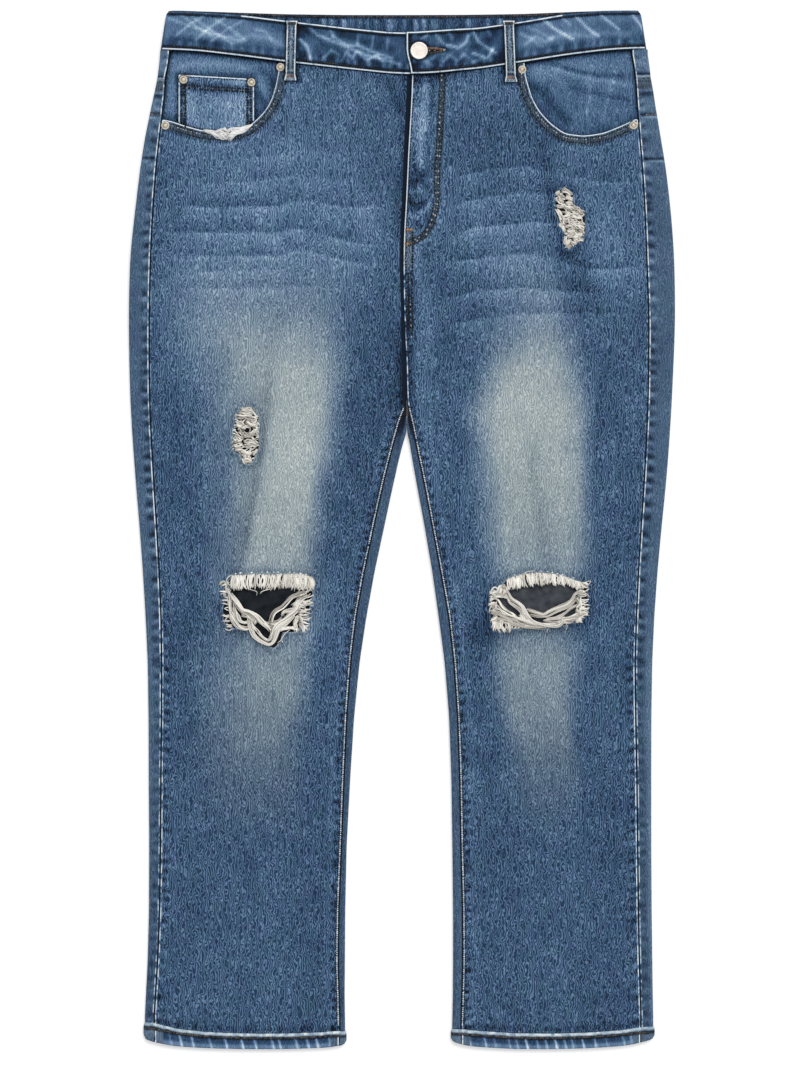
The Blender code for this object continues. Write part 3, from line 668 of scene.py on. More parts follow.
def smoothPath(points, pitch, blur):
    # points at an even pitch along a path, with its corners rounded
    points = np.array(points, float)
    run = runOf(points)
    at = np.linspace(0, run[-1], max(2, int(run[-1] / pitch) + 1))
    even = np.stack([np.interp(at, run, values) for values in points.T], 1)
    reach = min(int(blur * 3 / pitch), len(even) - 1)
    if reach < 1:
        return even
    weights = np.exp(-0.5 * (np.arange(-reach, reach + 1) * pitch / blur) ** 2)
    padded = np.pad(even, ((reach, reach), (0, 0)), mode="reflect", reflect_type="odd")
    columns = [np.convolve(values, weights / weights.sum(), mode="valid") for values in padded.T]
    return np.stack(columns, 1)


def normalsOf(path):
    run = np.gradient(path[:, :2], axis=0)
    run /= np.maximum(np.hypot(*run.T), 1e-9)[:, None]
    return np.stack([-run[:, 1], run[:, 0]], 1)


def beside(path, distance):
    # the path moved sideways
    return path[:, :2] + normalsOf(path) * distance


def mouthLine(side):
    # the pocket mouth as a smooth curve, from the waist seam to the outseam
    points = outlineAt("front_leg_" + sideNames[side], 5.5).reshape(-1, 2)
    across, down = side * points[:, 0], points[:, 1]
    rim = (across > 121) & (down > bandSeam(points[:, 0]) + 1.5) & (down < 130)
    rim &= across < side * outerEdge(side, down) - 1.0
    turn = np.arctan2(down - 55, across - 200) % math.tau
    points = points[rim][np.argsort(-turn[rim])]
    path = smoothPath(points, 1.5, 3.5)
    first, last = path[0] - path[3], path[-1] - path[-4]
    return np.concatenate([[path[0] + first * 2], path, [path[-1] + last]])


mouths = {side: mouthLine(side) for side in sideNames}
loopBoxes = [box(name) for name in ("belt_loop_front_right", "belt_loop_front_left")]
fineEdge = [0, 0.45, 0.9, 1.4, 2.0, 2.8, 4.0, 5.5, 7.5, 10.0, 13.0, 16.5, 20.5]
fineRow = [0, 0.5, 1.0, 1.7, 2.6, 3.8]


# looks of the panels

# whiskers: creases rubbed light, as (x, down) of the crest, strength, and how far the rubbed band reaches
whiskers = {
    right: [
        ([(-165, 149), (-148, 148), (-97, 141), (-57, 146)], 0.5, 9),
        ([(-212, 173), (-152, 173), (-102, 166), (-57, 171), (-40, 172)], 0.6, 9),
        ([(-225, 198), (-132, 197), (-97, 192), (-52, 197), (-22, 197)], 1.0, 12),
        ([(-230, 223), (-132, 223), (-102, 220), (-62, 229), (-28, 236)], 1.0, 11),
        ([(-228, 247), (-120, 246), (-102, 241), (-52, 251), (-25, 254)], 0.9, 9),
        ([(-228, 262), (-162, 261), (-110, 258)], 0.5, 8),
        ([(-215, 279), (-112, 278), (-70, 278)], 0.6, 10),
    ],
    left: [
        ([(55, 167), (100, 159), (123, 157), (148, 163), (189, 172), (234, 173)], 0.7, 9),
        ([(50, 196), (82, 189), (118, 183), (146, 184), (190, 186)], 0.8, 11),
        ([(52, 226), (70, 219), (100, 216), (136, 212), (156, 214)], 1.0, 12),
        ([(45, 253), (73, 250), (100, 246), (132, 245), (150, 248), (186, 260), (238, 257)], 0.9, 12),
        ([(45, 289), (73, 282), (118, 278), (145, 280), (200, 285)], 0.9, 11),
        ([(50, 314), (82, 309), (118, 305), (145, 304), (205, 304)], 0.8, 11),
    ],
}
# The sanded length of each leg, as stations down it. Each has the distances from the middle of the jeans
# where the sanding starts, is full, is full still and ends, then its tone and how grey it is.
fades = {
    right: [
        (250, 20, 80, 200, 262, 0.43, 0.10),
        (300, 28, 96, 160, 262, 0.495, 0.45),
        (330, 34, 104, 144, 246, 0.605, 0.75),
        (360, 40, 98, 130, 234, 0.655, 0.95),
        (400, 44, 92, 122, 224, 0.675, 1.0),
        (440, 46, 96, 116, 218, 0.695, 1.0),
        (480, 60, 102, 130, 210, 0.67, 1.0),
        (520, 68, 104, 140, 208, 0.645, 1.0),
        (550, 76, 106, 148, 207, 0.62, 0.9),
        (600, 70, 100, 150, 215, 0.50, 0.5),
        (660, 78, 118, 132, 232, 0.555, 0.8),
        (700, 82, 118, 145, 226, 0.50, 0.75),
        (740, 86, 130, 148, 230, 0.44, 0.6),
        (785, 88, 130, 150, 235, 0.37, 0.3),
        (830, 88, 130, 150, 235, 0.34, 0.0),
    ],
    left: [
        (240, 60, 110, 135, 160, 0.42, 0.1),
        (300, 60, 142, 143, 178, 0.49, 0.35),
        (330, 62, 138, 150, 188, 0.575, 0.7),
        (360, 60, 115, 152, 200, 0.65, 0.95),
        (400, 54, 102, 160, 200, 0.675, 1.0),
        (440, 54, 104, 158, 201, 0.67, 1.0),
        (480, 58, 108, 162, 202, 0.65, 1.0),
        (520, 66, 112, 163, 203, 0.62, 0.95),
        (550, 70, 108, 163, 203, 0.58, 0.8),
        (600, 80, 112, 140, 192, 0.50, 0.5),
        (650, 76, 118, 150, 190, 0.565, 0.8),
        (700, 82, 122, 157, 184, 0.52, 0.75),
        (740, 92, 133, 160, 184, 0.44, 0.6),
        (785, 95, 133, 160, 184, 0.38, 0.3),
        (830, 95, 133, 160, 184, 0.34, 0.0),
    ],
}
# patches where the tone changes: x, down, half width, half height, change
patches = {
    right: [
        (-200, 318, 42, 42, 0.05),
        (-112, 205, 100, 70, 0.03),
        (-12, 180, 16, 120, -0.03),
        (-30, 390, 30, 110, -0.04),
        (-240, 185, 20, 40, -0.05),
        (-150, 142, 66, 20, 0.06),
        (-150, 172, 50, 16, 0.035),
        (-25, 215, 14, 40, 0.04),
        (-158, 610, 36, 26, -0.07),
        (-78, 600, 20, 60, 0.07),
        (-165, 348, 30, 26, -0.03),
        (-92, 560, 16, 46, -0.06),
        (-127, 350, 6, 46, -0.03),
    ],
    left: [
        (110, 230, 60, 50, 0.025),
        (58, 290, 26, 60, -0.045),
        (176, 288, 16, 30, -0.05),
        (200, 238, 22, 44, 0.085),
        (226, 262, 18, 40, 0.04),
        (24, 345, 14, 70, 0.06),
        (20, 102, 22, 26, 0.04),
        (98, 622, 34, 16, -0.07),
        (152, 618, 30, 14, -0.05),
        (50, 600, 16, 40, 0.05),
        (80, 130, 60, 40, -0.04),
        (12, 180, 12, 30, -0.08),
        (160, 262, 50, 40, -0.03),
        (14, 118, 9, 20, 0.06),
    ],
}
# long soft folds: the line, the change of tone that paints their shade, width towards each side, and height
thighFold = [(-131, 360), (-134, 405), (-139.5, 440), (-145, 476), (-152, 512), (-159, 548), (-164, 566)]
pocketFold = [(130, 95), (140, 135), (145, 171), (150, 207), (171, 245), (187, 275), (196, 300)]
folds = {
    right: [(thighFold, -0.16, 13, 3.0, 1.2)],
    left: [
        (pocketFold, -0.08, 10, 14, 0.7),
        ([(131, 430), (134, 480), (140, 520), (144, 560)], -0.085, 9, 10, 0.5),
    ],
}
# short creases: the line, its width, and how light it is where rubbed (or, if negative, how dark its painted
# shade is)
creases = {
    right: [
        ([(-100, 62), (-92, 74), (-84, 80)], 2.0, 0.08),
        ([(-60, 70), (-52, 84), (-50, 100)], 2.5, 0.05),
        ([(-15, 72), (-6, 86), (-3, 100)], 4.0, -0.12),
        ([(-100, 76), (-106, 86), (-112, 92)], 3.0, 0.08),
        ([(4, 310), (3, 350), (2, 392)], 5.0, -0.22),
        ([(1, 330), (-1, 360), (-2, 396)], 12.0, -0.07),
    ],
    left: [
        ([(24, 66), (22, 80), (21.5, 110), (20, 140), (17, 158)], 1.5, 0.14),
        ([(26, 76), (25.5, 100), (24, 122)], 1.2, 0.12),
        ([(17, 100), (18, 130), (17, 150)], 4.5, 0.10),
        ([(13, 66), (20, 70), (31, 68)], 2.2, 0.12),
        ([(6, 67), (36, 66)], 8.0, -0.22),
        ([(20, 80), (24, 74), (31, 76)], 2.0, 0.10),
        ([(31, 74), (30, 96), (28, 104)], 3.4, -0.10),
        ([(15, 160), (22, 166), (30, 160), (33, 150)], 3.5, -0.10),
        ([(8, 172), (14, 176), (17, 168)], 2.6, -0.13),
        ([(8, 182), (13, 184), (19, 180), (24, 186)], 1.7, 0.16),
        ([(17, 180), (19, 170), (20, 156)], 1.6, 0.13),
        ([(7, 192), (14, 197), (20, 193)], 3.2, -0.16),
        ([(26, 176), (27, 188), (23, 192)], 3.6, -0.13),
        ([(7, 205), (15, 208), (20, 202), (26, 196), (30, 186)], 1.7, 0.16),
        ([(15, 212), (22, 220), (27, 212)], 3.0, -0.12),
        ([(30, 201), (26, 210)], 3.0, -0.12),
        ([(20, 190), (24, 182)], 1.5, 0.12),
        ([(31, 160), (29, 175), (30, 190)], 1.8, 0.08),
        ([(14, 240), (14, 268)], 3.4, 0.09),
        ([(22, 241), (26, 246)], 2.4, -0.14),
        ([(20, 262), (30, 258)], 2.4, -0.06),
        ([(19, 280), (24, 300), (28, 330)], 2.5, 0.05),
        ([(6, 300), (8, 350), (9, 398)], 4.5, -0.14),
    ],
}
flyStitching = [
    (40.5, 62), (40.5, 66), (39, 99), (37.5, 129), (35, 159), (34.5, 189), (33, 202), (29, 215), (23, 225),
    (13, 231), (3, 234),
]
baseTone = (
    [45, 120, 200, 290, 380, 500, 620, 700, 850, 1010],
    [0.39, 0.375, 0.375, 0.36, 0.34, 0.33, 0.325, 0.33, 0.325, 0.32],
)
# the seams' puckers: seed and pitch, then where the hollow places lie and how wide, how dark their painted
# shade and how light the rubbed places between; or the ridges' breadth, reach and slant
seamLooks = {
    "outFront": {"seed": 3, "pitch": 10.4, "at": 4.4, "wide": 3.6, "dark": 0.24, "light": 0.13},
    "outBack": {"seed": 5, "pitch": 10.8, "at": 4.2, "wide": 4.0, "dark": 0.27, "light": 0.20},
    "inFront": {"seed": 8, "pitch": 8.8, "at": 5.2, "wide": 2.8, "dark": 0.27, "light": 0.15},
    "waist": {"seed": 12, "pitch": 10.0, "at": 5.0, "wide": 5.5, "dark": 0.10, "light": 0.05},
    "aboveHem": {"seed": 18, "pitch": 10.5, "at": 3.5, "wide": 4.5, "dark": 0.15, "light": 0.05},
    "fly": {"seed": 22, "pitch": 6.8, "at": 6.0, "wide": 2.8, "dark": 0.18, "light": 0.07},
    "band": {"seed": 27, "pitch": 10.2, "breadth": 0.26, "reach": 13.0, "slant": 0.15},
    "bandInside": {"seed": 29, "pitch": 9.4, "breadth": 0.2, "reach": 30.0, "slant": 0.12},
    "hem": {"seed": 15, "pitch": 12.4, "breadth": 0.10, "reach": 40.0, "slant": 0.4},
    "coin": {"seed": 33, "pitch": 6.4, "breadth": 0.3, "reach": 7.0, "slant": 0.1},
}


def clothTone(side, x, down):
    # tone, sanding and relief away from the seams
    tone = np.interp(down, *baseTone)
    tone += 0.018 * drift(x, down, 34, 60, 21) + 0.012 * drift(x, down, 12, 30, 22)
    relief = 0.35 * (1 + drift(x, down, 45, 90, 23))
    stations = np.array(fades[side], float).T
    start, full, still, end, level, grey = (np.interp(down, stations[0], each) for each in stations[1:])
    fromMiddle = side * x + 5 * drift(x, down, 16, 40, 24)
    share = ease(start, full, fromMiddle) * (1 - ease(still, end, fromMiddle))
    share = share * ease(stations[0][0] - 40, stations[0][0] + 10, down)
    tone += (np.maximum(level, tone) - tone) * share
    fade = grey * share
    for px, pd, wide, tall, lift in patches[side]:
        spread = ((x - px) / wide) ** 2 + ((down - pd) / tall) ** 2
        tone += lift * np.exp(-(spread ** 1.35))
    for line, strength, reach in whiskers[side]:
        xs, downs = np.array(line, float).T
        crest = np.interp(x, xs, downs) + 1.2 * drift(x, down * 0, 14, 9, 31)
        ends = ease(xs[0] - 12, xs[0] + 26, x) * (1 - ease(xs[-1] - 26, xs[-1] + 12, x))
        below = down - crest
        rubbed = np.where(below > 0, np.exp(-below / reach), np.exp(below / 1.4))
        valley = np.where(below < 0, np.exp(below / 5.0) * (1 - np.exp(below / 1.2)), 0)
        uneven = 0.75 + 0.35 * drift(x, down * 0, 22, 9, 32)
        tone += strength * ends * uneven * (0.14 * rubbed - 0.18 * valley)
        relief += 0.8 * strength * ends * rubbed
    for line, change, before, after, lift in folds[side]:
        xs, downs = np.array(line, float).T
        away = x - np.interp(down, downs, xs)
        ends = ease(downs[0] - 25, downs[0] + 35, down) * (1 - ease(downs[-1] - 35, downs[-1] + 25, down))
        # painted shade along each fold line, falling off to each side
        shade = np.where(away < 0, np.exp(away / before), np.exp(-away / after))
        tone += change * ends * shade
        relief += lift * ends * np.where(away > 0, np.exp(-away / 22), np.exp(away / 3.0))
    drawn = rubsAndShadeLines(x, down, creases[side])
    return tone + drawn, fade, relief + 4.0 * drawn


def seamShade(bumps, light, dark):
    # puckers are rubbed light on their crests, with painted shade between them
    return light * bumps - dark * (1 - bumps)


def cutHole(x, down, inHole, segments, region):
    # marks the faces in a hole and draws the points of its rim onto its edge
    middleX = (x[1:, 1:] + x[:-1, :-1]) / 2
    middleDown = (down[1:, 1:] + down[:-1, :-1]) / 2
    out = region(middleX, middleDown)
    out[out] = inHole(middleX[out], middleDown[out])
    touched, kept = np.zeros(x.shape, bool), np.zeros(x.shape, bool)
    for i in (0, 1):
        for j in (0, 1):
            touched[i : i + out.shape[0], j : j + out.shape[1]] |= out
            kept[i : i + out.shape[0], j : j + out.shape[1]] |= ~out
    rim = touched & kept
    _, x[rim], down[rim] = nearestOn(x[rim], down[rim], segments)
    return out


frontLook = {
    "rowPitch": 1.75,
    "columnPitch": 3.4,
    "gridWidth": 250,
    "bandTone": 0.27,  # the band sewn along a pocket mouth
    "flyTone": 0.2,
    "patchTone": 0.43,  # the greyish patch between the bartacks
}
ripNames = {
    right: ("threads_thigh_right", "threads_knee_right"),
    left: ("threads_hip_left", "threads_knee_left"),
}


def frontPanel(side):
    word = sideNames[side]
    name = "front_leg_" + word
    first, last = cloth["frontRow"] + np.array(fineRow), cloth["lastRow"] - np.array(fineRow)[::-1]
    rows = np.concatenate([first[:-1], np.arange(first[-1], last[0] + 0.1, frontLook["rowPitch"]), last[1:]])
    width, rim = frontLook["gridWidth"], fineEdge[-1]
    across = spacing(width, fineEdge, frontLook["columnPitch"])
    row = np.broadcast_to(rows[:, None], (len(rows), len(across)))
    down = row * 1.0
    # the distance from the outer edge is kept near both edges, and the middle takes up the change of width
    for _ in range(4):
        start, end = outerEdge(side, down), frontInner[side](down)
        real, far = np.abs(end - start), width - across
        middle = rim + (across - rim) / (width - 2 * rim) * (real - 2 * rim)
        x = start - side * np.where(across < rim, across, np.where(far < rim, real - far, middle))
        down = warp(row, bandSeam(x) + cloth["gap"], hemTop[side](x) - cloth["gap"], cloth["frontRow"])
    x, down = x.copy(), down.copy()
    # the pocket mouth
    path = mouths[side]
    corner = [(side * 300, path[-1, 1]), (side * 300, 10), (path[0, 0], 10)]
    ring = np.concatenate([path, corner])
    ring = np.stack([ring, np.roll(ring, -1, axis=0)], 1)
    mouthEdge = segmentsOf(path)
    removed = cutHole(
        x, down, lambda mx, md: isInside(mx, md, ring), mouthEdge,
        lambda mx, md: (side * mx > 118) & (md < 132),
    )
    mouth = distanceNear(x, down, mouthEdge, (side * x > 95) & (down < 155))
    # the rips
    rawEdge = np.full(x.shape, farAway)
    for rip in ripNames[side]:
        area, edge = box(rip), ripRim(side, rip)
        removed |= cutHole(
            x, down, lambda mx, md: isInside(mx, md, edge), edge, lambda mx, md: inBox(mx, md, area, 3)
        )
        rawEdge = np.minimum(rawEdge, distanceNear(x, down, edge, inBox(x, down, area, 25)))
    outward = np.abs(x - outerEdge(side, down))
    inward = np.abs(x - frontInner[side](down))
    tone, fade, relief = clothTone(side, x, down)
    # outseam: above the knee the back strip is the rubbed one, below it the front edge is
    lower = ease(560, 660, down)
    # the seams' puckers: painted shade in their hollow places, rubbed places between
    pinched = puckerShadeAndRubs(down, outward, seamLooks["outFront"]) * (0.25 + 0.75 * lower) * ease(0.5, 2.0, outward)
    # inseam
    inseam = ease(cloth["crotch"] - 12, cloth["crotch"] + 12, down)
    pinched += puckerShadeAndRubs(down, inward, seamLooks["inFront"]) * inseam * ease(1.4, 2.6, inward)
    tone += 0.045 * inseam * soft(inward, 10.5, 3)
    # under the waistband and above the hem the cloth is darker with painted shade beside the raised band and
    # hem, and lightly puckered
    below = down - bandSeam(x)
    pinched += puckerShadeAndRubs(x, below, seamLooks["waist"])
    tone -= 0.09 * np.exp(-below / 4)
    above = hemTop[side](x) - down
    pinched += puckerShadeAndRubs(x, above, seamLooks["aboveHem"])
    tone = tone - 0.06 * soft(above, 3.5, 2.5) + 0.10 * np.exp(-above / 1.0)
    tone += pinched
    nearest = np.minimum(np.minimum(outward, inward), np.minimum(below, above))
    relief += 3.0 * (pinched + 0.1) * ease(0, 2, nearest)
    # edges: painted shade where the seams sink, and a rubbed line beside it
    seamEdge = np.minimum(outward, np.where(down > cloth["crotch"], inward, 99)) - 0.55
    if side == left:
        lapEdge = np.where(down < cloth["crotch"], inward - 0.4, 99.0)
        pinched = puckerShadeAndRubs(down, inward, seamLooks["fly"]) * (1 - ease(165, 200, down)) * ease(62, 72, down)
        tone += pinched
        away = distanceNear(x, down, segmentsOf(np.array(flyStitching, float)), (x < 60) & (down < 250))
        stitched = soft(away, 0, 3.0, 4)
        tone += stitched * (frontLook["flyTone"] - tone) * 0.85 + 0.05 * soft(away, 5.5, 2.0)
        fade = np.maximum(fade, 0.6 * stitched)
        # the greyish patch between the bartacks, and the dark seam below it
        patch = ease(0.8, 1.6, inward) * (1 - ease(7.4, 8.4, inward))
        patch = patch * ease(220, 221.5, down) * (1 - ease(256, 262, down))
        tone += patch * 0.8 * (frontLook["patchTone"] + 0.04 * drift(x, down, 4, 4, 62) - tone)
        fade = np.maximum(fade, 0.6 * patch)
        knotted = ease(258, 264, down) * (1 - ease(300, 330, down)) * soft(inward, 6, 4.5, 4)
        tone -= 0.10 * knotted
        relief -= 0.4 * stitched * (inward > 3)
    else:
        # the shadow beside the lap, and the crease that the two fronts make above the crotch
        lap = frontInner[left](down) - x
        depth = np.interp(down, [60, 110, 230, 300, 340, 385, 400], [4.8, 4.3, 3.2, 2.8, 3.8, 4.6, 0.0])
        lapEdge = np.where((down < 400) & (lap > -12), lap - depth, 99.0)
        tone -= 0.10 * np.exp(-((np.maximum(lap - depth, 0) / 6) ** 2)) * (down < 230)
    total = np.minimum(np.minimum(seamEdge, lapEdge), mouth)
    lapWear = 1.9 - 0.9 * ease(236, 262, down)
    upper = ease(70, 110, down) * (1 - ease(120, 175, down))
    wear = np.where(outward < inward, 0.45 + 0.75 * lower + 0.5 * upper, 0.6 * inseam)
    wear = np.where(mouth < 4, 1.85, wear)
    wear = np.where(lapEdge < 90, lapWear if side == left else 0.0, wear)
    # the band sewn along a pocket mouth is dark and grey
    hemmed = ease(0.8, 2.2, mouth) * (1 - ease(8.6, 10.0, mouth))
    tone += hemmed * 0.92 * (frontLook["bandTone"] + 0.05 * drift(x, down, 3, 3, 61) - tone)
    tone = tone - 0.10 * soft(mouth, 10.6, 1.2) + 0.05 * soft(mouth, 13, 2)
    fade = np.maximum(fade, 0.6 * hemmed)
    relief += 0.5 * hemmed
    tone -= 0.26 * shadeBeside(x, down, loopBoxes)
    # the cloth lifts just round a rip, and its raw edge is rubbed
    tone += 0.12 * soft(rawEdge, 0, 1.2)
    relief = relief * ease(0, 1.5, np.minimum(outward, inward) + 0.4) + 0.25 * np.exp(-rawEdge / 4)
    dip = 0.5 * np.exp(-outward / 1.0) + 0.3 * np.exp(-inward / 0.8) * inseam
    # painted shade on the cloth just round a rip
    tone -= 0.10 * soft(rawEdge, 2, 5) * (rawEdge > 1)
    z = frontTop(side, x, down) + relief - dip
    if side == right:
        # it runs on flat under the lap
        z = np.where(lap < 1, np.minimum(z, frontTop(side, x, down)), z)
    looks = {"tone": tone, "fade": fade, "edge": total, "wear": wear}
    clothes = (cloth["wall"], [denim, denimInside])
    piece = makeCloth("denim_front_" + word, x, down, z, looks, *clothes, side == right, removed)
    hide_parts(name)
    return piece


frontPanels = {side: frontPanel(side) for side in sideNames}
print("front panels made")


backLook = {
    "rowPitch": 2.2,
    "yokeRows": 26,
    "underColumns": 30,
    "hemTop": 5.2,
    "outFoldTurns": (90, 68, 45, 22, 0, -22, -45, -68, -90),
    "stripShares": (0, 0.04, 0.09, 0.15, 0.22, 0.3, 0.4, 0.5, 0.62, 0.75, 0.88),
    "inStripShares": (0.3, 0.6, 0.8, 0.93, 1),
}


def wrapSection(side, down, forked):
    # outer points round the back of one leg: outseam on top, outer fold, underside, inner fold, inseam on top
    radius = cloth["foldRadius"][0] + (cloth["foldRadius"][1] - cloth["foldRadius"][0]) * hips(down)
    lift = cloth["seatLift"] * hips(down)
    seamX = outSeam[side](down)
    seamZ = frontTop(side, seamX, down)
    centre = outFold[side](down) - side * radius
    topZ = lift + 2 * radius
    topZ = topZ + (backLook["hemTop"] - topZ) * nearHem(down)
    flat = 0 * down
    points = []  # (x, z, distance from the seam on top, 1 on the underside)
    strip = np.abs(centre - seamX)
    for share in backLook["stripShares"]:
        x = seamX + (centre - seamX) * share
        points.append((x, seamZ + (topZ - seamZ) * ease(0, 1, share), strip * share, flat))
    for turn in np.radians(backLook["outFoldTurns"]):
        tall = radius + (topZ - lift - 2 * radius) * max(0.0, math.sin(turn))
        x = centre + side * radius * math.cos(turn)
        z = lift + radius + tall * math.sin(turn)
        points.append((x, z, strip + radius * (math.pi / 2 - turn), flat + (1 if turn < 0.2 else 0.3)))
    # the inner fold starts pinched at the fork
    bend = radius * (0.12 + 0.88 * ease(cloth["fork"], cloth["fork"] + 22, down))
    end = inFoldAt(side, down) + side * bend if forked else centreBackAt(side, down)
    count = backLook["underColumns"]
    for k in range(1, count + (not forked)):
        points.append((centre + (end - centre) * k / count, lift + flat, 99 + flat, 1 + flat))
    if not forked:
        return points
    inSeamX = frontInner[side](down) - side * cloth["gap"]
    inSeamZ = frontTop(side, frontInner[side](down), down)
    for turn in np.radians(backLook["outFoldTurns"])[::-1]:
        tall = np.maximum(inSeamZ - 0.3 - lift - bend, bend) if turn > 0 else bend
        x = end - side * bend * math.cos(turn)
        points.append((x, lift + bend + tall * math.sin(turn), -99 + flat, flat + (1 if turn < 0.2 else 0.3)))
    for share in backLook["inStripShares"]:
        away = -np.abs(end - inSeamX) * (1 - share) - 0.001
        z = inSeamZ - 0.3 + 0.3 * ease(0, 1, share) + flat
        points.append((end + (inSeamX - end) * share, z, away, flat))
    return points


# the seam between yoke and back panel is felled: a band about 13 mm deep where it comes round to the front
felled = {right: (68.5, 82.5), left: (65.5, 79.5)}
# light and dark lines across the strips: distance, change of tone and width; the dark line above the felled
# band's top is painted shadow
felledLines = {
    "top": [(0.9, 0.34, 1.0), (-1.6, -0.25, 1.3)],
    "bottom": [(0.4, 0.26, 1.0), (4, -0.16, 3)],
    "below": [(104.2, -0.24, 1.2), (107.2, 0.22, 1.3), (148.5, -0.28, 1.0), (150.8, 0.16, 1.2)],
}


def backLooks(side, x, down, aways, zones):
    # looks of the back pieces: the strips on top match the front, the underside is an even mid blue
    onStrip = (aways >= 0) & (aways < 90)
    tone = np.interp(down, *baseTone) + 0.02 * drift(x, down, 40, 70, 51)
    seat = np.exp(-(((np.abs(x) - 130) / 90) ** 2) - ((down - 230) / 150) ** 2)
    tone += zones * (0.10 * seat + 0.02)
    away = np.where(onStrip, aways, 99)
    higher = 1 - ease(600, 700, down)
    strength = 0.45 + 0.55 * higher * ease(70, 130, down)
    # painted shade in the hollow places of the outseam's puckers, rubbed places between
    pinched = puckerShadeAndRubs(down, away, seamLooks["outBack"]) * strength * ease(0.8, 2.2, away)
    tone += pinched
    relief = 3.0 * pinched * (away < 60)
    # the yoke's end: a cloudy patch, the felled seam, and two rows of stitching under it
    top, bottom = felled[side]
    near = (away < 60) * (down < 170)
    band = near * ease(top, top + 1.2, down) * (1 - ease(bottom - 1.2, bottom, down))
    tone += band * 0.75 * (0.33 + 0.05 * drift(x, down, 6, 4, 52) - tone)
    # with a painted shadow line just above the felled band
    tone += near * (linesAt(down - top, felledLines["top"]) + linesAt(down - bottom, felledLines["bottom"]))
    tone += near * 0.09 * soft(down, 54, 8)
    tone += near * 0.10 * soft(down, 94, 7) * (0.5 + 0.5 * drift(x, down, 6, 7, 53))
    tone += near * (away > 2) * linesAt(down, felledLines["below"])
    inStrip = (aways < 0) & (aways > -60)
    # edges: below zero the painted shade of the sunken seam, above it the rubbed line
    edge = np.where(onStrip, aways - 0.55, np.where(inStrip, -aways - 0.9, 99))
    wear = np.where(onStrip, 0.8 + 0.4 * higher, 0.0)
    outerStrip = onStrip * ease(6, 12, away)
    tone += outerStrip * (0.04 * ease(330, 400, down) + 0.055 * (side == left) * ease(560, 640, down))
    tone += 0.04 * inStrip * (side == left) * ease(780, 860, down)
    # painted shade on the inner strips where they run down into the fork
    tone -= inStrip * 0.30 * np.exp(-((np.maximum(down - 408, 0) / 17) ** 2))
    fade = np.maximum(zones * 0.25 * seat + 0.25 * (zones < 0.5), 0.7 * band)
    return tone, fade, edge, wear, relief


def backPiece(name, node, side, rows, forked, placed, removed=lambda full, last: None):
    # one wrapped piece: placed(rows, x, underside) gives where each row lies at a column's x
    full = len(wrapSection(side, rows, forked.any()))
    last = len(wrapSection(side, rows, False)) - 1
    taken = []
    for k in range(full):
        def station(down):
            upper = wrapSection(side, down, False)[min(k, last)]
            lower = wrapSection(side, down, True)[k] if forked.any() else upper
            return [np.where(forked, low, high) for high, low in zip(upper, lower)]
        down = rows
        for _ in range(3):
            x, _, _, zone = station(down)
            down = placed(rows, x, zone)
        taken.append([*station(down), down])
    x, z, aways, zones, down = np.array(taken).transpose(1, 2, 0)
    tone, fade, edge, wear, relief = backLooks(side, x, down, aways, zones)
    # the strips folded to the front are pressed smooth
    looks = {"tone": tone, "fade": fade, "edge": edge, "wear": wear, "calm": 0.5 * (zones < 0.5)}
    clothes = (cloth["wall"], [denim, shadedInsides[side]])
    piece = makeCloth(name, x, down, z + relief, looks, *clothes, side == left, removed(full, last))
    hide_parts(node)
    return piece


def backPanel(side):
    last = cloth["lastRow"]
    rows = np.array([*np.arange(cloth["backRow"], last - 3, backLook["rowPitch"]), last - 2, last - 1, last])
    forked = rows >= cloth["fork"]

    def placed(rows, x, zone):
        return warp(rows, yokeSeam(x) + cloth["gap"] / 2, hemTop[side](x) - cloth["gap"], cloth["backRow"])

    def removed(full, last):
        gone = np.zeros((len(rows) - 1, full - 1), bool)
        gone[: int(np.argmax(forked)), last:] = True
        return gone

    word = sideNames[side]
    return backPiece("denim_back_" + word, "back_leg_" + word, side, rows, forked, placed, removed)


def yoke(side):
    share = np.linspace(0, 1, backLook["yokeRows"])

    def placed(rows, x, zone):
        top = bandSeam(x) + (backSeam(x) - bandSeam(x)) * (zone > 0.5) + cloth["gap"]
        return top + (yokeSeam(x) - cloth["gap"] / 2 - top) * share

    word = sideNames[side]
    rows, unforked = cloth["frontRow"] + share * 60, np.zeros(len(share), bool)
    return backPiece("denim_yoke_" + word, "yoke_" + word, side, rows, unforked, placed)


backPanels = {side: backPanel(side) for side in sideNames}
yokes = {side: yoke(side) for side in sideNames}
print("back panels and yokes made")


# waistband

buttonLook = {
    "at": (17.0, 42.0),
    "level": 10.5,
    "steps": 48,
    "shadowSkirt": (8.56, 12.0),
    "rim": (7.25, 8.56),
    "profile": [
        (0, 0), (9.3, 0), (9.5, 0.25), (9.3, 0.5), (8.3, 0.6), (8.2, 1.0), (8.65, 1.7), (8.55, 2.3),
        (8.1, 2.75), (7.6, 2.9), (7.2, 2.75), (6.6, 2.65), (4.4, 2.72), (2.0, 2.78), (0, 2.8),
    ],
}
bandLook = {
    "wall": 2.2,
    "frontTop": 7.5,
    "backTop": 1.5,
    "lapLift": 2.7,
    "foldRadius": 3.0,
    "foldLevel": 4.5,
    "folds": (-238.0, 241.0),
    "start": 43.0,
    "end": 4.0,
    "lean": 6.0,
    "lapSlant": 4.5,
    "pitch": 1.75,
}
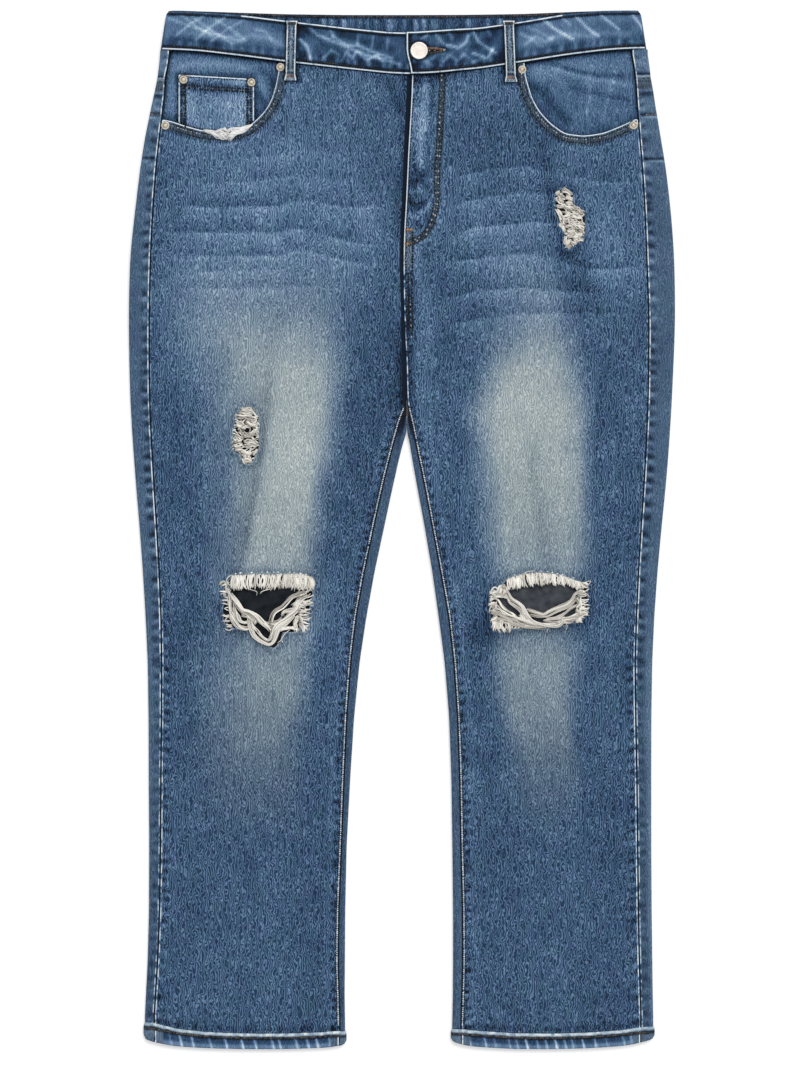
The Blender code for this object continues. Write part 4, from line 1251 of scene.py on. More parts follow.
# creases across the band, as in the tables of the panels: light ones rubbed, dark ones painted shade
bandCreases = [
    ([(-102, 30), (-94.5, 37), (-91, 51)], 1.6, 0.24),
    ([(-95, 16), (-84, 26), (-69, 32), (-52, 39), (-35, 46), (-15, 51), (-3, 55)], 1.7, 0.16),
    ([(-69, 27), (-55, 36), (-44, 36), (-30, 42), (-10, 49)], 1.5, 0.15),
    ([(-44, 26), (-44, 36)], 1.5, 0.14),
    ([(-29, 27), (-30, 37)], 1.5, 0.14),
    ([(-14, 29), (-15, 39)], 1.5, 0.12),
    ([(-72, 20), (-68, 27)], 1.6, 0.12),
    ([(-60, 51), (-55, 42), (-50, 49), (-45, 42), (-35, 51), (-25, 46), (-20, 52)], 1.5, 0.17),
    ([(-80, 50), (-70, 41), (-62, 46)], 1.7, 0.12),
    ([(-95, 20), (-80, 33), (-60, 46)], 3.5, -0.06),
    ([(-101, 13), (-100, 25)], 6.0, -0.06),
    ([(-60, 24), (-36, 33), (-8, 40)], 4.0, -0.06),
    ([(-232, 9), (-205, 19), (-185, 25), (-160, 32)], 1.45, 0.11),
    ([(-220, 6), (-202, 19), (-190, 26)], 1.45, 0.13),
    ([(-225, 26), (-210, 14), (-196, 6)], 1.45, 0.13),
    ([(-205, 30), (-190, 17), (-176, 8)], 1.45, 0.13),
    ([(-190, 32), (-176, 21), (-160, 12)], 1.45, 0.11),
    ([(-209, 8), (-190, 21), (-170, 34)], 1.45, 0.13),
    ([(-186, 10), (-170, 20), (-156, 31)], 1.45, 0.11),
    ([(-168, 34), (-150, 26), (-133, 29), (-118, 37)], 2.6, 0.08),
    ([(-200, 25), (-180, 30), (-165, 26)], 3.0, 0.06),
    ([(-222, 30), (-200, 33), (-180, 36)], 4.0, -0.05),
    ([(-150, 12), (-130, 17), (-118, 22)], 4.0, -0.05),
    ([(-146, 20), (-137, 22), (-130, 30)], 1.5, 0.12),
    ([(12, 26), (20, 22), (26, 25), (20, 30)], 2.0, 0.14),
    ([(33, 24), (38, 32), (46, 38)], 1.8, 0.14),
    ([(46, 22), (50, 30)], 1.8, 0.12),
    ([(46, 36), (56, 39), (64, 33), (66, 26)], 1.6, 0.18),
    ([(70, 21), (76, 32), (86, 39), (94, 44)], 1.45, 0.21),
    ([(84, 17), (88, 26)], 1.8, 0.12),
    ([(91, 39), (85, 49), (71, 44)], 1.6, 0.20),
    ([(42, 52), (48, 46), (55, 52), (62, 45), (70, 53), (78, 50)], 1.8, 0.14),
    ([(30, 50), (36, 44), (44, 44)], 1.8, 0.12),
    ([(8, 55), (14, 50), (24, 52), (30, 56)], 2.4, 0.12),
    ([(60, 22), (52, 32), (44, 34)], 4.0, -0.06),
    ([(92, 20), (84, 34), (70, 38)], 5.0, -0.06),
    ([(123, 35), (133, 27), (143, 33), (150, 28)], 2.0, 0.12),
    ([(118, 24), (130, 30), (140, 38)], 1.6, 0.12),
    ([(125, 18), (140, 24), (150, 31)], 1.45, 0.11),
    ([(142, 11), (151, 19), (170, 30)], 1.45, 0.27),
    ([(173, 7), (185, 19), (196, 27)], 1.45, 0.23),
    ([(198, 6), (208, 14), (216, 20)], 1.45, 0.21),
    ([(230, 6), (240, 19)], 1.45, 0.21),
    ([(160, 9), (168, 16)], 1.45, 0.13),
    ([(150, 29), (165, 25), (185, 27), (200, 24), (225, 25)], 3.0, 0.07),
    ([(180, 14), (205, 18), (230, 16)], 5.0, -0.04),
]


def waistband():
    b = bandLook
    turns = np.radians(np.linspace(90, -90, 9))
    low, high = b["folds"]
    rise = b["frontTop"] - b["backTop"]
    lapX = high - spacing(high - b["end"], fineEdge[:9], b["pitch"])
    # round the waist: under the lap, the right fold, the back, the left fold, and the front up to the lap
    parts = [
        np.arange(b["start"], low, -b["pitch"]), low - b["foldRadius"] * np.cos(turns),
        np.arange(low + 4, high - 1, 4.0), high + b["foldRadius"] * np.cos(turns), lapX[1:],
    ]
    courseX = np.concatenate(parts)
    starts = np.cumsum([0, *[len(part) for part in parts]])
    courseZ = np.full(len(courseX), b["frontTop"])
    courseZ[starts[1] : starts[2]] = b["foldLevel"] + b["foldRadius"] * np.sin(turns)
    courseZ[starts[2] : starts[3]] = b["backTop"]
    courseZ[starts[3] : starts[4]] = b["foldLevel"] - b["foldRadius"] * np.sin(turns)
    lapped = np.zeros(len(courseX), bool)
    lapped[starts[4] :] = True
    courseZ = courseZ + np.where(lapped, b["lapLift"] * (1 - ease(48, 80, courseX)), 0)
    front = np.clip((courseZ - b["backTop"]) / rise, 0, 1)
    share = spacing(40, fineEdge[:9], b["pitch"])[:, None] / 40
    top = backTop(courseX) + (bandTop(courseX) - backTop(courseX)) * front
    seam = backSeam(courseX) + (bandSeam(courseX) - backSeam(courseX)) * front
    down = top + (seam - top) * share
    x = courseX - np.sign(courseX) * b["lean"] * (1 - share) * ease(150, 241, np.abs(courseX))
    x = x + np.where(lapped, b["lapSlant"] * ease(0.4, 1, share) * (1 - ease(0, 30, courseX - b["end"])), 0)
    x = x - np.sign(courseX) * 2.0 * soft(down, top, 2.2) * ease(228, 240, np.abs(courseX))
    fromTop, fromSeam = down - top, seam - down
    onFront = np.broadcast_to(front > 0.9, down.shape)
    fromEnd = np.where(lapped, courseX - b["end"], 99.0) + 0 * down
    centre = 1 - ease(98, 128, np.abs(x))
    tone = 0.43 - 0.085 * centre + 0.03 * drift(x, down, 26, 12, 71) + 0.03 * drift(x, down, 9, 9, 72)
    tone += 0.05 * centre * drift(x, down, 5, 8, 74)
    # puckers stand on the lower seam, with painted shade between them
    bumps = puckers(x, fromSeam - 3, seamLooks["band"])
    reach = soft(fromSeam, 9.0, 5.5)
    tone += reach * seamShade(bumps, 0.17, 0.17 + 0.06 * centre)
    drawn = rubsAndShadeLines(x, down, bandCreases) * (1.5 + 0.3 * centre)
    tone += drawn
    # painted shade in the sunken line of each stitched row
    for depth in (fromTop, fromSeam, fromEnd):
        tone -= 0.34 * soft(depth, 3.2, 1.7)
    tone -= 0.06 * soft(fromTop, 7, 5) * (np.abs(x) < 130)
    tone -= 0.16 * shadeBeside(x, down, loopBoxes)
    # the shade of the buttonhole, and the one round the button
    hole = rubsAndShadeLines(x, down, [([(24, 42), (34, 42), (43, 41)], 3.4, 1.0)])
    fromButton = np.hypot(x - buttonLook["at"][0], down - buttonLook["at"][1])
    tone = tone - 0.36 * np.clip(hole, 0, 1) - 0.3 * soft(fromButton, 8.5, 2.2)
    # the inside of the back shows above the front: dark, with light upright folds
    streaks = puckers(x, fromTop, seamLooks["bandInside"])
    inside = 0.23 + 0.02 * drift(x, down, 8, 8, 73) + 0.46 * streaks * ease(2, 5, fromTop)
    inside = inside - 0.1 * soft(fromTop, 0, 2.4)
    tone = np.where(onFront | lapped, tone, inside)
    hidden = (courseX > 0) & ~lapped & (front > 0.9)
    relief = np.where(onFront & ~hidden, 1.1 * bumps * reach + 3.0 * drawn + 0.4, 0)
    relief = relief * ease(0, 5, np.minimum(fromTop, fromSeam)) * ease(0, 5, fromEnd)
    z = courseZ + relief - 0.35 * np.exp(-fromTop / 0.8) - 0.35 * np.exp(-fromSeam / 0.8)
    # edges: a thin painted shade right at them, then the rubbed line
    edge = 0.75 * np.minimum(np.minimum(fromTop, fromSeam), fromEnd) - 0.35
    edge = np.where(onFront | lapped, edge, 99)
    # the top edge is rubbed white in the middle only
    wear = np.where((fromTop < 5) & (np.abs(x) > 160), 0.15, 1.75)
    looks = {"tone": tone, "edge": edge, "wear": wear}
    piece = makeCloth("denim_waistband", x, down, z, looks, b["wall"], [pressed, denimInside], False)
    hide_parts("waistband")
    return piece


waistbandPiece = waistband()


# hems

hemLook = {
    "wall": 2.0,
    "radius": 2.9,
    "level": 2.9,
    "top": 5.8,
    "flare": 1.2,
    "corner": 1.9,
    "row": 1014,  # where the legs' folds are read
    "topColumns": 190,
    "underColumns": 30,
    "darkTone": 0.26,
    "plainTone": 0.40,
    "rubbedTone": 0.80,
    "underTone": 0.36,
}


def hem(side):
    h = hemLook
    word = sideNames[side]
    name = "hem_" + word
    share = np.array([0, 0.03, 0.07, 0.12, 0.18, *np.linspace(0.24, 0.88, 9), 0.93, 0.97, 1.0])[:, None]
    outerBend = outFold[side](h["row"]) - side * h["radius"]
    innerBend = inFold[side](h["row"]) + side * h["radius"]
    turns = np.radians(np.linspace(90, -90, 9))
    across = np.linspace(0, 1, h["topColumns"])[1:]
    under = np.linspace(0, 1, h["underColumns"])[1:-1]
    courseX = np.concatenate([
        outerBend + side * h["radius"] * np.cos(turns), outerBend + (innerBend - outerBend) * under,
        innerBend - side * h["radius"] * np.cos(turns), innerBend + (outerBend - innerBend) * across,
    ])
    count = len(courseX)
    courseZ = np.full(count, h["top"])
    courseZ[:9] = h["level"] + h["radius"] * np.sin(turns)
    courseZ[9 : 9 + len(under)] = 0
    courseZ[9 + len(under) : 18 + len(under)] = h["level"] - h["radius"] * np.sin(turns)
    low, high = box(name)[:2]
    inRange = np.clip(courseX, low + 5, high - 5)
    top, bottom = hemTop[side](inRange), hemBottom[side](inRange)
    middle = (outerBend + innerBend) / 2
    fromFold = np.abs(outerBend - middle) + h["radius"] - np.abs(courseX - middle)
    bottom = bottom - 1.7 * soft(fromFold, 0, 3.0)
    # the outer end sits a little higher
    rise = 1.9 * soft(fromFold, 0, 22) * ((courseX - middle) * side > 0)
    top, bottom = top - 0.7 * rise, bottom - rise
    down = top + (bottom - top) * share
    flare = 0.2 + h["flare"] * ease(0, 0.3, share) - h["corner"] * ease(0.62, 1, share) ** 2
    x = courseX + np.sign(courseX - middle) * flare * (1 - ease(2.5, 12, fromFold))
    fromTop = (down - top) + 0 * x
    onTop = courseZ > h["level"]
    # slanted light lines part dark puffs, and a rubbed band runs along the top
    slide = x - 7.5 * share + 2.5 * share * share
    lines = puckers(slide, fromTop * 0, seamLooks["hem"])
    tone = h["darkTone"] + 0.04 * drift(x, down, 9, 6, 81) + 0.50 * lines * ease(4.5, 7, fromTop)
    tone += 0.23 * ease(0.6, 0.85, share)
    seams = [outerEdge(side, 1016), frontInner[side](1016)]
    fromSeams = np.minimum(np.abs(x - seams[0]), np.abs(x - seams[1])) + 0 * down
    beyond = ((x - seams[0]) * side > 0) | ((x - seams[1]) * side < 0)
    plain = np.where(beyond, 1.0, 1 - ease(8.0, 10.0, fromSeams))
    tone += plain * (h["plainTone"] + 0.05 * drift(x, down, 5, 5, 82) - tone)
    fade = 0.45 * plain + 0 * down
    rubbed = soft(fromTop + 0.5 * drift(x, down * 0, 3.5, 3, 84), 1.7, 2.1, 4)
    worn = h["rubbedTone"] + 0.18 * drift(x, down, 3.2, 2.5, 83)
    tone += rubbed * (worn - tone) * np.where(beyond, 0.75, 0.95)
    fade = np.maximum(fade, 0.5 * rubbed)
    # painted shade in the sunken stitched row, and darker along the lower edge
    tone = tone - 0.30 * soft(fromTop, 5.0, 1.7) - 0.1 * ease(0.94, 1.0, share)
    tone = np.where(onTop, tone, h["underTone"])
    signed = np.where(beyond, 99.0, fromSeams)
    edge = np.where(fromTop > 5.0, signed - 0.6, 99.0)
    # painted shade just outside the leg seams
    grooveShade = beyond & (fromSeams < 1.0)
    edge = np.where(grooveShade & onTop, -0.4, edge)
    edge = np.where(onTop, edge, 99)
    puff = 0.9 * (1 - lines) * ease(4.5, 8, fromTop) * (1 - plain) * ease(0, 0.12, 1 - share)
    relief = np.where(onTop, puff + 0.7 * rubbed - 0.3 * soft(fromTop, 4.9, 0.9), 0)
    relief = relief * ease(-1, 5, np.abs(fromFold - h["radius"]))
    z = courseZ + relief
    looks = {"tone": tone, "fade": fade, "edge": edge, "wear": 1.5}
    clothes = (h["wall"], [pressed, shadedInsides[side]])
    piece = makeCloth("denim_hem_" + word, x, down, z, looks, *clothes, side == left, closed=True)
    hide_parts(name)
    return piece


hems = {side: hem(side) for side in sideNames}
print("waistband and hems made")


# flat pieces

# how high their upper sides lie, the pitch of their points and their walls
flatLooks = {
    "facing": (4.2, 2.6, 1.1),
    "coin": (5.7, 1.9, 1.1),
    "backPocket": (1.15, 4.0, 1.1),
    "backLoop": (1.15, 1.9, 1.1),
    "zip": (4.0, 2.5, 0.8),
}


def flatPiece(name, node, kind, look, material=denim):
    # a level piece with the outline of its solid
    height, pitch, wall = flatLooks[kind]
    segments = outlineAt(node, height - cloth["halfWall"])
    x0, d0 = segments.reshape(-1, 2).min(0)
    x1, d1 = segments.reshape(-1, 2).max(0)
    across = np.linspace(x0 - 0.2, x1 + 0.2, int((x1 - x0) / pitch) + 2)
    along = np.linspace(d0 - 0.2, d1 + 0.2, int((d1 - d0) / pitch) + 2)
    x, down = np.meshgrid(across, along)
    removed = cutHole(
        x, down, lambda mx, md: ~isInside(mx, md, segments), segments, lambda mx, md: np.ones(mx.shape, bool)
    )
    looks, relief = look(x, down)
    z = np.full(x.shape, height) + relief
    piece = makeCloth(name, x, down, z, looks, wall, [material], True, removed)
    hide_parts(node)
    return piece


facingCreases = {
    right: [
        ([(-232, 62), (-215, 55), (-195, 52), (-175, 54), (-155, 58)], 3.5, 0.05),
        ([(-228, 78), (-230, 100)], 5.0, 0.05),
        ([(-146, 66), (-138, 78), (-136, 90)], 3.0, 0.07),
        ([(-141, 60), (-132, 66), (-128, 76)], 3.5, -0.08),
        ([(-142, 84), (-138, 92)], 2.5, -0.08),
    ],
    left: [
        ([(150, 54), (170, 60), (195, 65), (220, 66)], 2.5, -0.10),
        ([(152, 58), (172, 65), (198, 70), (228, 75)], 2.5, 0.07),
        ([(130, 75), (142, 82), (150, 96), (165, 110)], 5.0, -0.09),
        ([(170, 78), (200, 84), (226, 90)], 3.0, -0.07),
        ([(190, 56), (186, 70), (188, 84), (184, 104)], 1.3, 0.09),
        ([(214, 60), (208, 80), (202, 100), (201, 112)], 1.3, 0.09),
        ([(134, 58), (150, 64), (160, 76)], 4.0, 0.04),
    ],
}


def facing(side):
    path = mouths[side]
    mouthEdge = segmentsOf(path)

    def look(x, down):
        tone = 0.40 + 0.02 * drift(x, down, 22, 16, 91) + 0.02 * drift(x, down, 8, 8, 92)
        tone += 1.5 * rubsAndShadeLines(x, down, facingCreases[side])
        below = down - bandSeam(x)
        # painted shade under the waistband's edge, at the pocket mouth, along the outseam and beside the coin
        # pocket
        tone = tone - 0.20 * soft(below, 0, 3.2) + 0.06 * soft(below, 12, 7)
        tone -= 0.16 * np.exp(-nearestOn(x, down, mouthEdge)[0] / 4.5)
        tone -= 0.14 * np.exp(-np.abs(x - outerEdge(side, down)) / 1.2)
        if side == right:
            tone -= 0.14 * shadeBeside(x, down, [(-224.5, -146.0, 64.5, 130)])
        relief = 1.5 * rubsAndShadeLines(x, down, facingCreases[side]) * ease(0, 6, below)
        return {"tone": tone, "calm": 0.35}, np.minimum(relief, 0.25)

    word = sideNames[side]
    return flatPiece("denim_facing_" + word, "pocket_facing_" + word, "facing", look)


facings = {side: facing(side) for side in sideNames}


coinLook = {"outer": -223.5, "inner": -147.0, "top": (64.0, 68.5), "hem": 9.5, "tone": 0.475}


def coinPocket():
    # the small pocket on the right facing
    path = mouths[right]

    def look(x, down):
        top = np.interp(x, [coinLook["outer"], coinLook["inner"]], coinLook["top"])
        fromTop = down - top
        fromOuter, fromInner = x - coinLook["outer"], coinLook["inner"] - x
        fromMouth = nearestOn(x, down, segmentsOf(path))[0]
        sides = np.minimum(fromOuter, fromInner)
        tone = coinLook["tone"] + 0.02 * drift(x, down, 16, 12, 93) + 0.02 * drift(x, down, 6, 6, 94)
        tone -= 0.15 * soft(fromTop, 15.0, 2.6) * ease(9, 12, sides)
        tone -= 0.20 * soft(fromTop, coinLook["hem"], 2.0) * ease(7, 9, sides)
        hemBumps = puckers(x, fromTop * 0, seamLooks["coin"])
        tone += soft(fromTop, 5.5, 3.5) * (0.10 * drift(x, down, 11, 9, 95) - 0.02)
        sideBumps = puckers(down, sides * 0, seamLooks["coin"])
        lane = soft(sides, 5.6, 2.9, 4)
        tone += lane * (seamShade(sideBumps, 0.12, 0.22) - 0.04)
        tone += soft(sides, 13, 4) * 0.05
        tone += 0.07 * soft(fromInner, 20, 12)
        tone += soft(fromTop, 11.5, 1.3) * 0.08 * hemBumps
        # painted shade where it runs under the pocket mouth's edge
        tone -= 0.10 * soft(fromMouth, 0, 3.0)
        lint = lane * 0.35
        edge = np.minimum(sides, fromTop) - 0.5
        relief = 0.5 * ease(0, 2.5, np.minimum(sides, fromTop)) * ease(0, 4, fromMouth)
        return {"tone": tone, "edge": edge, "wear": 1.5, "fade": lint}, relief

    return flatPiece("denim_coin_pocket", "coin_pocket", "coin", look)


coinPiece = coinPocket()


def backPocket(side):
    word = sideNames[side]

    def look(x, down):
        return {"tone": 0.40 + 0.02 * drift(x, down, 20, 20, 96), "fade": 0.2}, np.zeros(x.shape)

    return flatPiece("denim_back_pocket_" + word, "back_pocket_" + word, "backPocket", look)


backPockets = {side: backPocket(side) for side in sideNames}


# belt loops

loopLook = {
    "wall": 1.4,
    "profile": (9.4, 9.6, 10.2, 9.6, 8.9, 7.6, 7.5),  # mid height at stations down the loop
    "pitch": 1.2,
    "tone": 0.50,
    "flare": 2.6,
    "seam": 3.0,  # the rows of stitching, from each side
    "fromEnd": [(11.5, -0.12, 3.0), (0.0, 0.10, 4.0), (7.4, -0.34, 1.1), (9.8, 0.22, 0.9)],
    "fromTop": [(3.0, -0.10, 2.5)],
}
# middle, top, width and how far the lower end leans
loopShapes = {
    "belt_loop_front_right": (-110.6, 11.0, 10.6, -1.6),
    "belt_loop_front_left": (107.6, 11.0, 10.8, 2.4),
}


def frontLoop(name):
    middle, top, width, shift = loopShapes[name]
    seam = float(bandSeam(middle))
    stations = (top, top + 6, (top + seam) / 2, seam + 1.5, seam + 6, seam + 12, seam + 17.5)
    along = spacing(stations[-1] - top, fineEdge[:8], loopLook["pitch"]) + top
    across = np.array([0, 0.06, 0.12, 0.18, 0.25, 0.33, 0.42, 0.5, 0.58, 0.67, 0.75, 0.82, 0.88, 0.94, 1.0])
    share, down = np.meshgrid(across, along)
    level = np.interp(down, stations, loopLook["profile"])
    ends = np.maximum(1 - ease(0, 5, down - top), 1 - ease(0, 7, stations[-1] - down))
    wide = width + loopLook["flare"] * ends
    x = middle + shift * ((down - top) / (stations[-1] - top) - 0.5) + (share - 0.5) * wide
    fromSide = np.minimum(share, 1 - share) * wide
    fromTop, fromEnd = down - top, stations[-1] - down
    seamed = soft(fromSide, loopLook["seam"], 0.8)
    tone = loopLook["tone"] + 0.03 * drift(x, down, 5, 9, 97) - 0.12 * seamed
    # its lower end is folded under and sewn down
    tone += linesAt(fromEnd, loopLook["fromEnd"]) + linesAt(fromTop, loopLook["fromTop"])
    edge = np.where(fromTop < fromEnd, np.minimum(fromSide, fromTop), fromSide) - 0.5
    puff = 0.5 * ease(0, 2.2, np.minimum(fromSide, np.minimum(fromTop, fromEnd)))
    z = level + puff - 0.3 * soft(fromSide, 3.0, 0.7)
    looks = {"tone": tone, "fade": 0.55, "edge": edge, "wear": 1.6}
    piece = makeCloth("denim_" + name, x, down, z, looks, loopLook["wall"], [denim, denimInside], True)
    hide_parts(name)
    return piece


frontLoops = [frontLoop(name) for name in loopShapes]


def backLoop(name):
    def look(x, down):
        x0, x1 = box(name)[:2]
        sides = np.minimum(x - x0, x1 - x)
        return {"tone": 0.46, "fade": 0.4, "edge": sides - 0.2, "wear": 1.0}, np.zeros(x.shape)

    return flatPiece("denim_" + name, name, "backLoop", look)


backLoops = [backLoop("belt_loop_back_" + word) for word in ("right", "centre", "left")]
print("pockets, facings and loops made")


# hardware

def turnPiece(name, profile, at, level, steps, material, node, rings):
    # spins a profile of (radius, height) about its own upright axis; rings have their own materials
    bm = bmesh.new()
    verts = [bm.verts.new((radius / 1000, 0, height / 1000)) for radius, height in profile]
    edges = [bm.edges.new(pair) for pair in zip(verts, verts[1:])]
    bmesh.ops.spin(
        bm, geom=verts + edges, cent=(0, 0, 0), axis=(0, 0, 1), angle=math.tau, steps=steps, use_merge=True
    )
    bmesh.ops.remove_doubles(bm, verts=bm.verts[:], dist=1e-6)
    bmesh.ops.recalc_face_normals(bm, faces=bm.faces[:])
    bmesh.ops.translate(bm, verts=bm.verts[:], vec=(at[0] / 1000, (zeroLine - at[1]) / 1000, level / 1000))
    mesh = bpy.data.meshes.new(name)
    bm.to_mesh(mesh)
    bm.free()
    obj = addPiece(name, mesh, [material, *[extra for extra, _, _ in rings]])
    middle = np.array([at[0] / 1000, (zeroLine - at[1]) / 1000])
    for face in mesh.polygons:
        distance = 1000 * np.hypot(*(np.array(face.center[:2]) - middle))
        for index, (_, low, high) in enumerate(rings):
            if low < distance < high:
                face.material_index = index + 1
    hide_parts(node)
    return obj


at, level, steps = (buttonLook[key] for key in ("at", "level", "steps"))
rings = [(shadowed, *buttonLook["shadowSkirt"]), (plateRim, *buttonLook["rim"])]
turnPiece("button", buttonLook["profile"], at, level, steps, plate, "button", rings)

rivetLook = {
    "steps": 28,
    "profile": [
        (0, 0), (4.7, 0), (4.8, 0.2), (4.2, 0.35), (4.15, 0.6), (3.95, 1.05), (3.5, 1.3), (2.9, 1.3),
        (2.5, 1.15), (2.1, 1.15), (1.7, 1.4), (1.0, 1.7), (0, 1.8),
    ],
    "shadowSkirt": (4.16, 6.0),
    "moat": (1.75, 2.75),
}
for name in [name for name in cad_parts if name.startswith("rivet")]:
    x0, x1, d0, d1 = box(name)
    at, low = ((x0 + x1) / 2, (d0 + d1) / 2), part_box(name)[0].z * 1000
    rings = [(shadowed, *rivetLook["shadowSkirt"]), (plateDark, *rivetLook["moat"])]
    turnPiece(name + "_cap", rivetLook["profile"], at, low, rivetLook["steps"], rivetPlate, name, rings)


def joinedCopies(name, verts, faces, material, shades=None):
    # one mesh made of many small closed shapes, each with its shade
    mesh = bpy.data.meshes.new(name)
    mesh.from_pydata(verts.tolist(), [], faces)
    if shades is not None:
        mesh.attributes.new("shade", "FLOAT", "POINT").data.foreach_set("value", shades)
    return addPiece(name, mesh, [material])


# the zip, closed and hidden by the fly

zipLook = {"tooth": (2.6, 1.1, 1.0), "pitch": 2.0, "reach": 14.0, "stagger": 0.7, "rise": 0.1}


def zipTape():
    def look(x, down):
        return {"tone": 0.2, "fade": 0.3}, np.zeros(x.shape)

    tape = flatPiece("zip_tape", "zip", "zip", look, denimInside)
    x0, x1, d0, d1 = box("zip")
    bm = bmesh.new()
    bmesh.ops.create_cube(bm, size=1)
    base = np.array([vertex.co[:] for vertex in bm.verts])
    quads = [[vertex.index for vertex in face.verts] for face in bm.faces]
    bm.free()
    verts, faces = [], []
    for index, down in enumerate(np.arange(d0 + 5, d1 - 4, zipLook["pitch"])):
        x = float(frontInner[left](down)) + zipLook["reach"] + zipLook["stagger"] * (1 if index % 2 else -1)
        place = np.array([x, zeroLine - down, flatLooks["zip"][0] + zipLook["rise"]])
        faces += [[corner + len(verts) * 8 for corner in quad] for quad in quads]
        verts.append(base * np.array(zipLook["tooth"]) + place)
    teeth = joinedCopies("zip_teeth", np.concatenate(verts) / 1000, faces, plateDark)
    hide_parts("zip")
    return tape, teeth


zipPiece, zipTeeth = zipTape()
print("hardware made")


# stitching: each stitch is a small bead of thread lying on the cloth

def topOf(objects):
    graph = bpy.context.evaluated_depsgraph_get()
    points, faces, count = [], [], 0
    for obj in objects:
        evaluated = obj.evaluated_get(graph)
        mesh = evaluated.to_mesh()
        mesh.calc_loop_triangles()
        places = np.empty(len(mesh.vertices) * 3)
        mesh.vertices.foreach_get("co", places)
        corners = np.empty(len(mesh.loop_triangles) * 3, int)
        mesh.loop_triangles.foreach_get("vertices", corners)
        points.append(places.reshape(-1, 3))
        faces.append(corners.reshape(-1, 3) + count)
        count += len(mesh.vertices)
        evaluated.to_mesh_clear()
    tree = BVHTree.FromPolygons(np.concatenate(points).tolist(), np.concatenate(faces).tolist())

    def height(x, down):
        hit = tree.ray_cast((x / 1000, (zeroLine - down) / 1000, 0.1), (0, 0, -1))[0]
        return hit.z * 1000 if hit else 3.0

    return height


tops = [*frontPanels.values(), *backPanels.values(), *yokes.values(), *hems.values(), *facings.values()]
heightAt = topOf([*tops, waistbandPiece, coinPiece, *frontLoops])
stitchLooks = {
    "seam": {"pitch": 3.0, "length": 2.3, "width": 1.5, "tilt": 0.0},
    "rope": {"pitch": 1.9, "length": 1.5, "width": 1.45, "tilt": 0.35},
    "fine": {"pitch": 2.8, "length": 2.1, "width": 1.3, "tilt": 0.0},
    "bead": {"pitch": 5.4, "length": 2.4, "width": 1.7, "tilt": 0.3},
    "waist": {"pitch": 2.7, "length": 2.4, "width": 2.3, "tilt": 0.25},
    "hem": {"pitch": 2.6, "length": 2.9, "width": 2.1, "tilt": 0.25},
    "satin": {"pitch": 0.95, "length": 2.8, "width": 1.1, "tilt": 1.35},
}
# the band's rows of stitches, from x to x on each side
bandRuns = {right: [(-237, -117.5), (-103.5, -2)], left: [(12, 101), (114.5, 239)]}
sewn = {thread: [] for thread in threads}
chance = np.random.default_rng(41)


def sew(thread, path, kind, skip=0.0):
    # lays stitches along a path of (x, down)
    look = stitchLooks[kind]
    path = np.array(path, float)
    run = runOf(path)
    for at in np.arange(look["pitch"] / 2, run[-1], look["pitch"]):
        if chance.uniform() < skip:
            continue
        at = at + chance.uniform(-0.12, 0.12) * look["pitch"]
        x, down = np.interp(at, run, path[:, 0]), np.interp(at, run, path[:, 1])
        ahead, behind = min(at + 1, run[-1]), max(at - 1, 0)
        dx = np.interp(ahead, run, path[:, 0]) - np.interp(behind, run, path[:, 0])
        dd = np.interp(ahead, run, path[:, 1]) - np.interp(behind, run, path[:, 1])
        turn = math.atan2(-dd, dx) + look["tilt"] + chance.normal(0, 0.06)
        size = chance.uniform(0.85, 1.15)
        sewn[thread].append((x, down, heightAt(x, down), turn, look["length"] * size, look["width"] * size))


def alongDown(line, first, last):
    downs = np.arange(first, last, 2.0)
    return np.stack([line(downs), downs], 1)


def alongX(line, first, last):
    xs = np.arange(first, last, 2.0) if first < last else np.arange(first, last, -2.0)
    return np.stack([xs, line(xs)], 1)


for side in sideNames:
    sew("pale", alongDown(lambda down: frontInner[side](down) + side * 0.9, 397, 1014), "rope", 0.03)
    sew("navy", alongDown(lambda down: frontInner[side](down) + side * 2.3, 402, 1014), "seam", 0.06)
    # pocket mouth
    path = mouths[side]
    flow = 1 if beside(path, 3)[len(path) // 2, 1] > path[len(path) // 2, 1] else -1
    sew("navy", beside(path, flow * 3.0)[6:-4], "fine", 0.1)
    sew("grey", beside(path, flow * 4.4)[6:-4], "fine", 0.35)
    sew("navy", beside(path, flow * 7.8)[6:-4], "seam", 0.05)
    # hem
    x0, x1 = box("hem_" + sideNames[side])[:2]
    for thread, below, inset, kind, skip in (("brown", 4.7, 1.5, "hem", 0), ("navy", 5.7, 2.5, "seam", 0.3)):
        line = lambda x: hemTop[side](np.clip(x, x0 + 5, x1 - 5)) + below
        sew(thread, alongX(line, x0 + inset, x1 - inset), kind, skip)
    # the felled yoke seam where it comes to the front
    top, bottom = felled[side]
    edge = outSeam[side](75)
    for down, thread in ((top + 3.0, "brown"), (bottom - 3.0, "brown"), (105.0, "rust")):
        far = outFold[side](down) - side * 2
        sew(thread, [(edge + side * 3, down + 0.4), (far, down - 0.6)], "fine", 0.15)
    # waist and lower edge of the waistband, which the front loops cover
    for first, last in bandRuns[side]:
        sew("navy", alongX(lambda x: bandTop(x) + 3.4, max(first, -233), min(last, 236)), "waist", 0.1)
        sew("navy", alongX(lambda x: bandSeam(x) - 3.3, first, last), "waist")
        sew("brown", alongX(lambda x: bandSeam(x) - 4.0, first, last), "fine", 0.5)
sew("brown", alongX(lambda x: backTop(x) + 1.3, -175, 165), "waist")
lapStitches = [(7.6, 24), (7.2, 35), (8.8, 48), (11.6, 58)]
sew("navy", lapStitches, "waist", 0.1)
sew("navy", alongDown(lambda down: frontInner[left](down) + 2.4, 67, 392), "seam", 0.05)
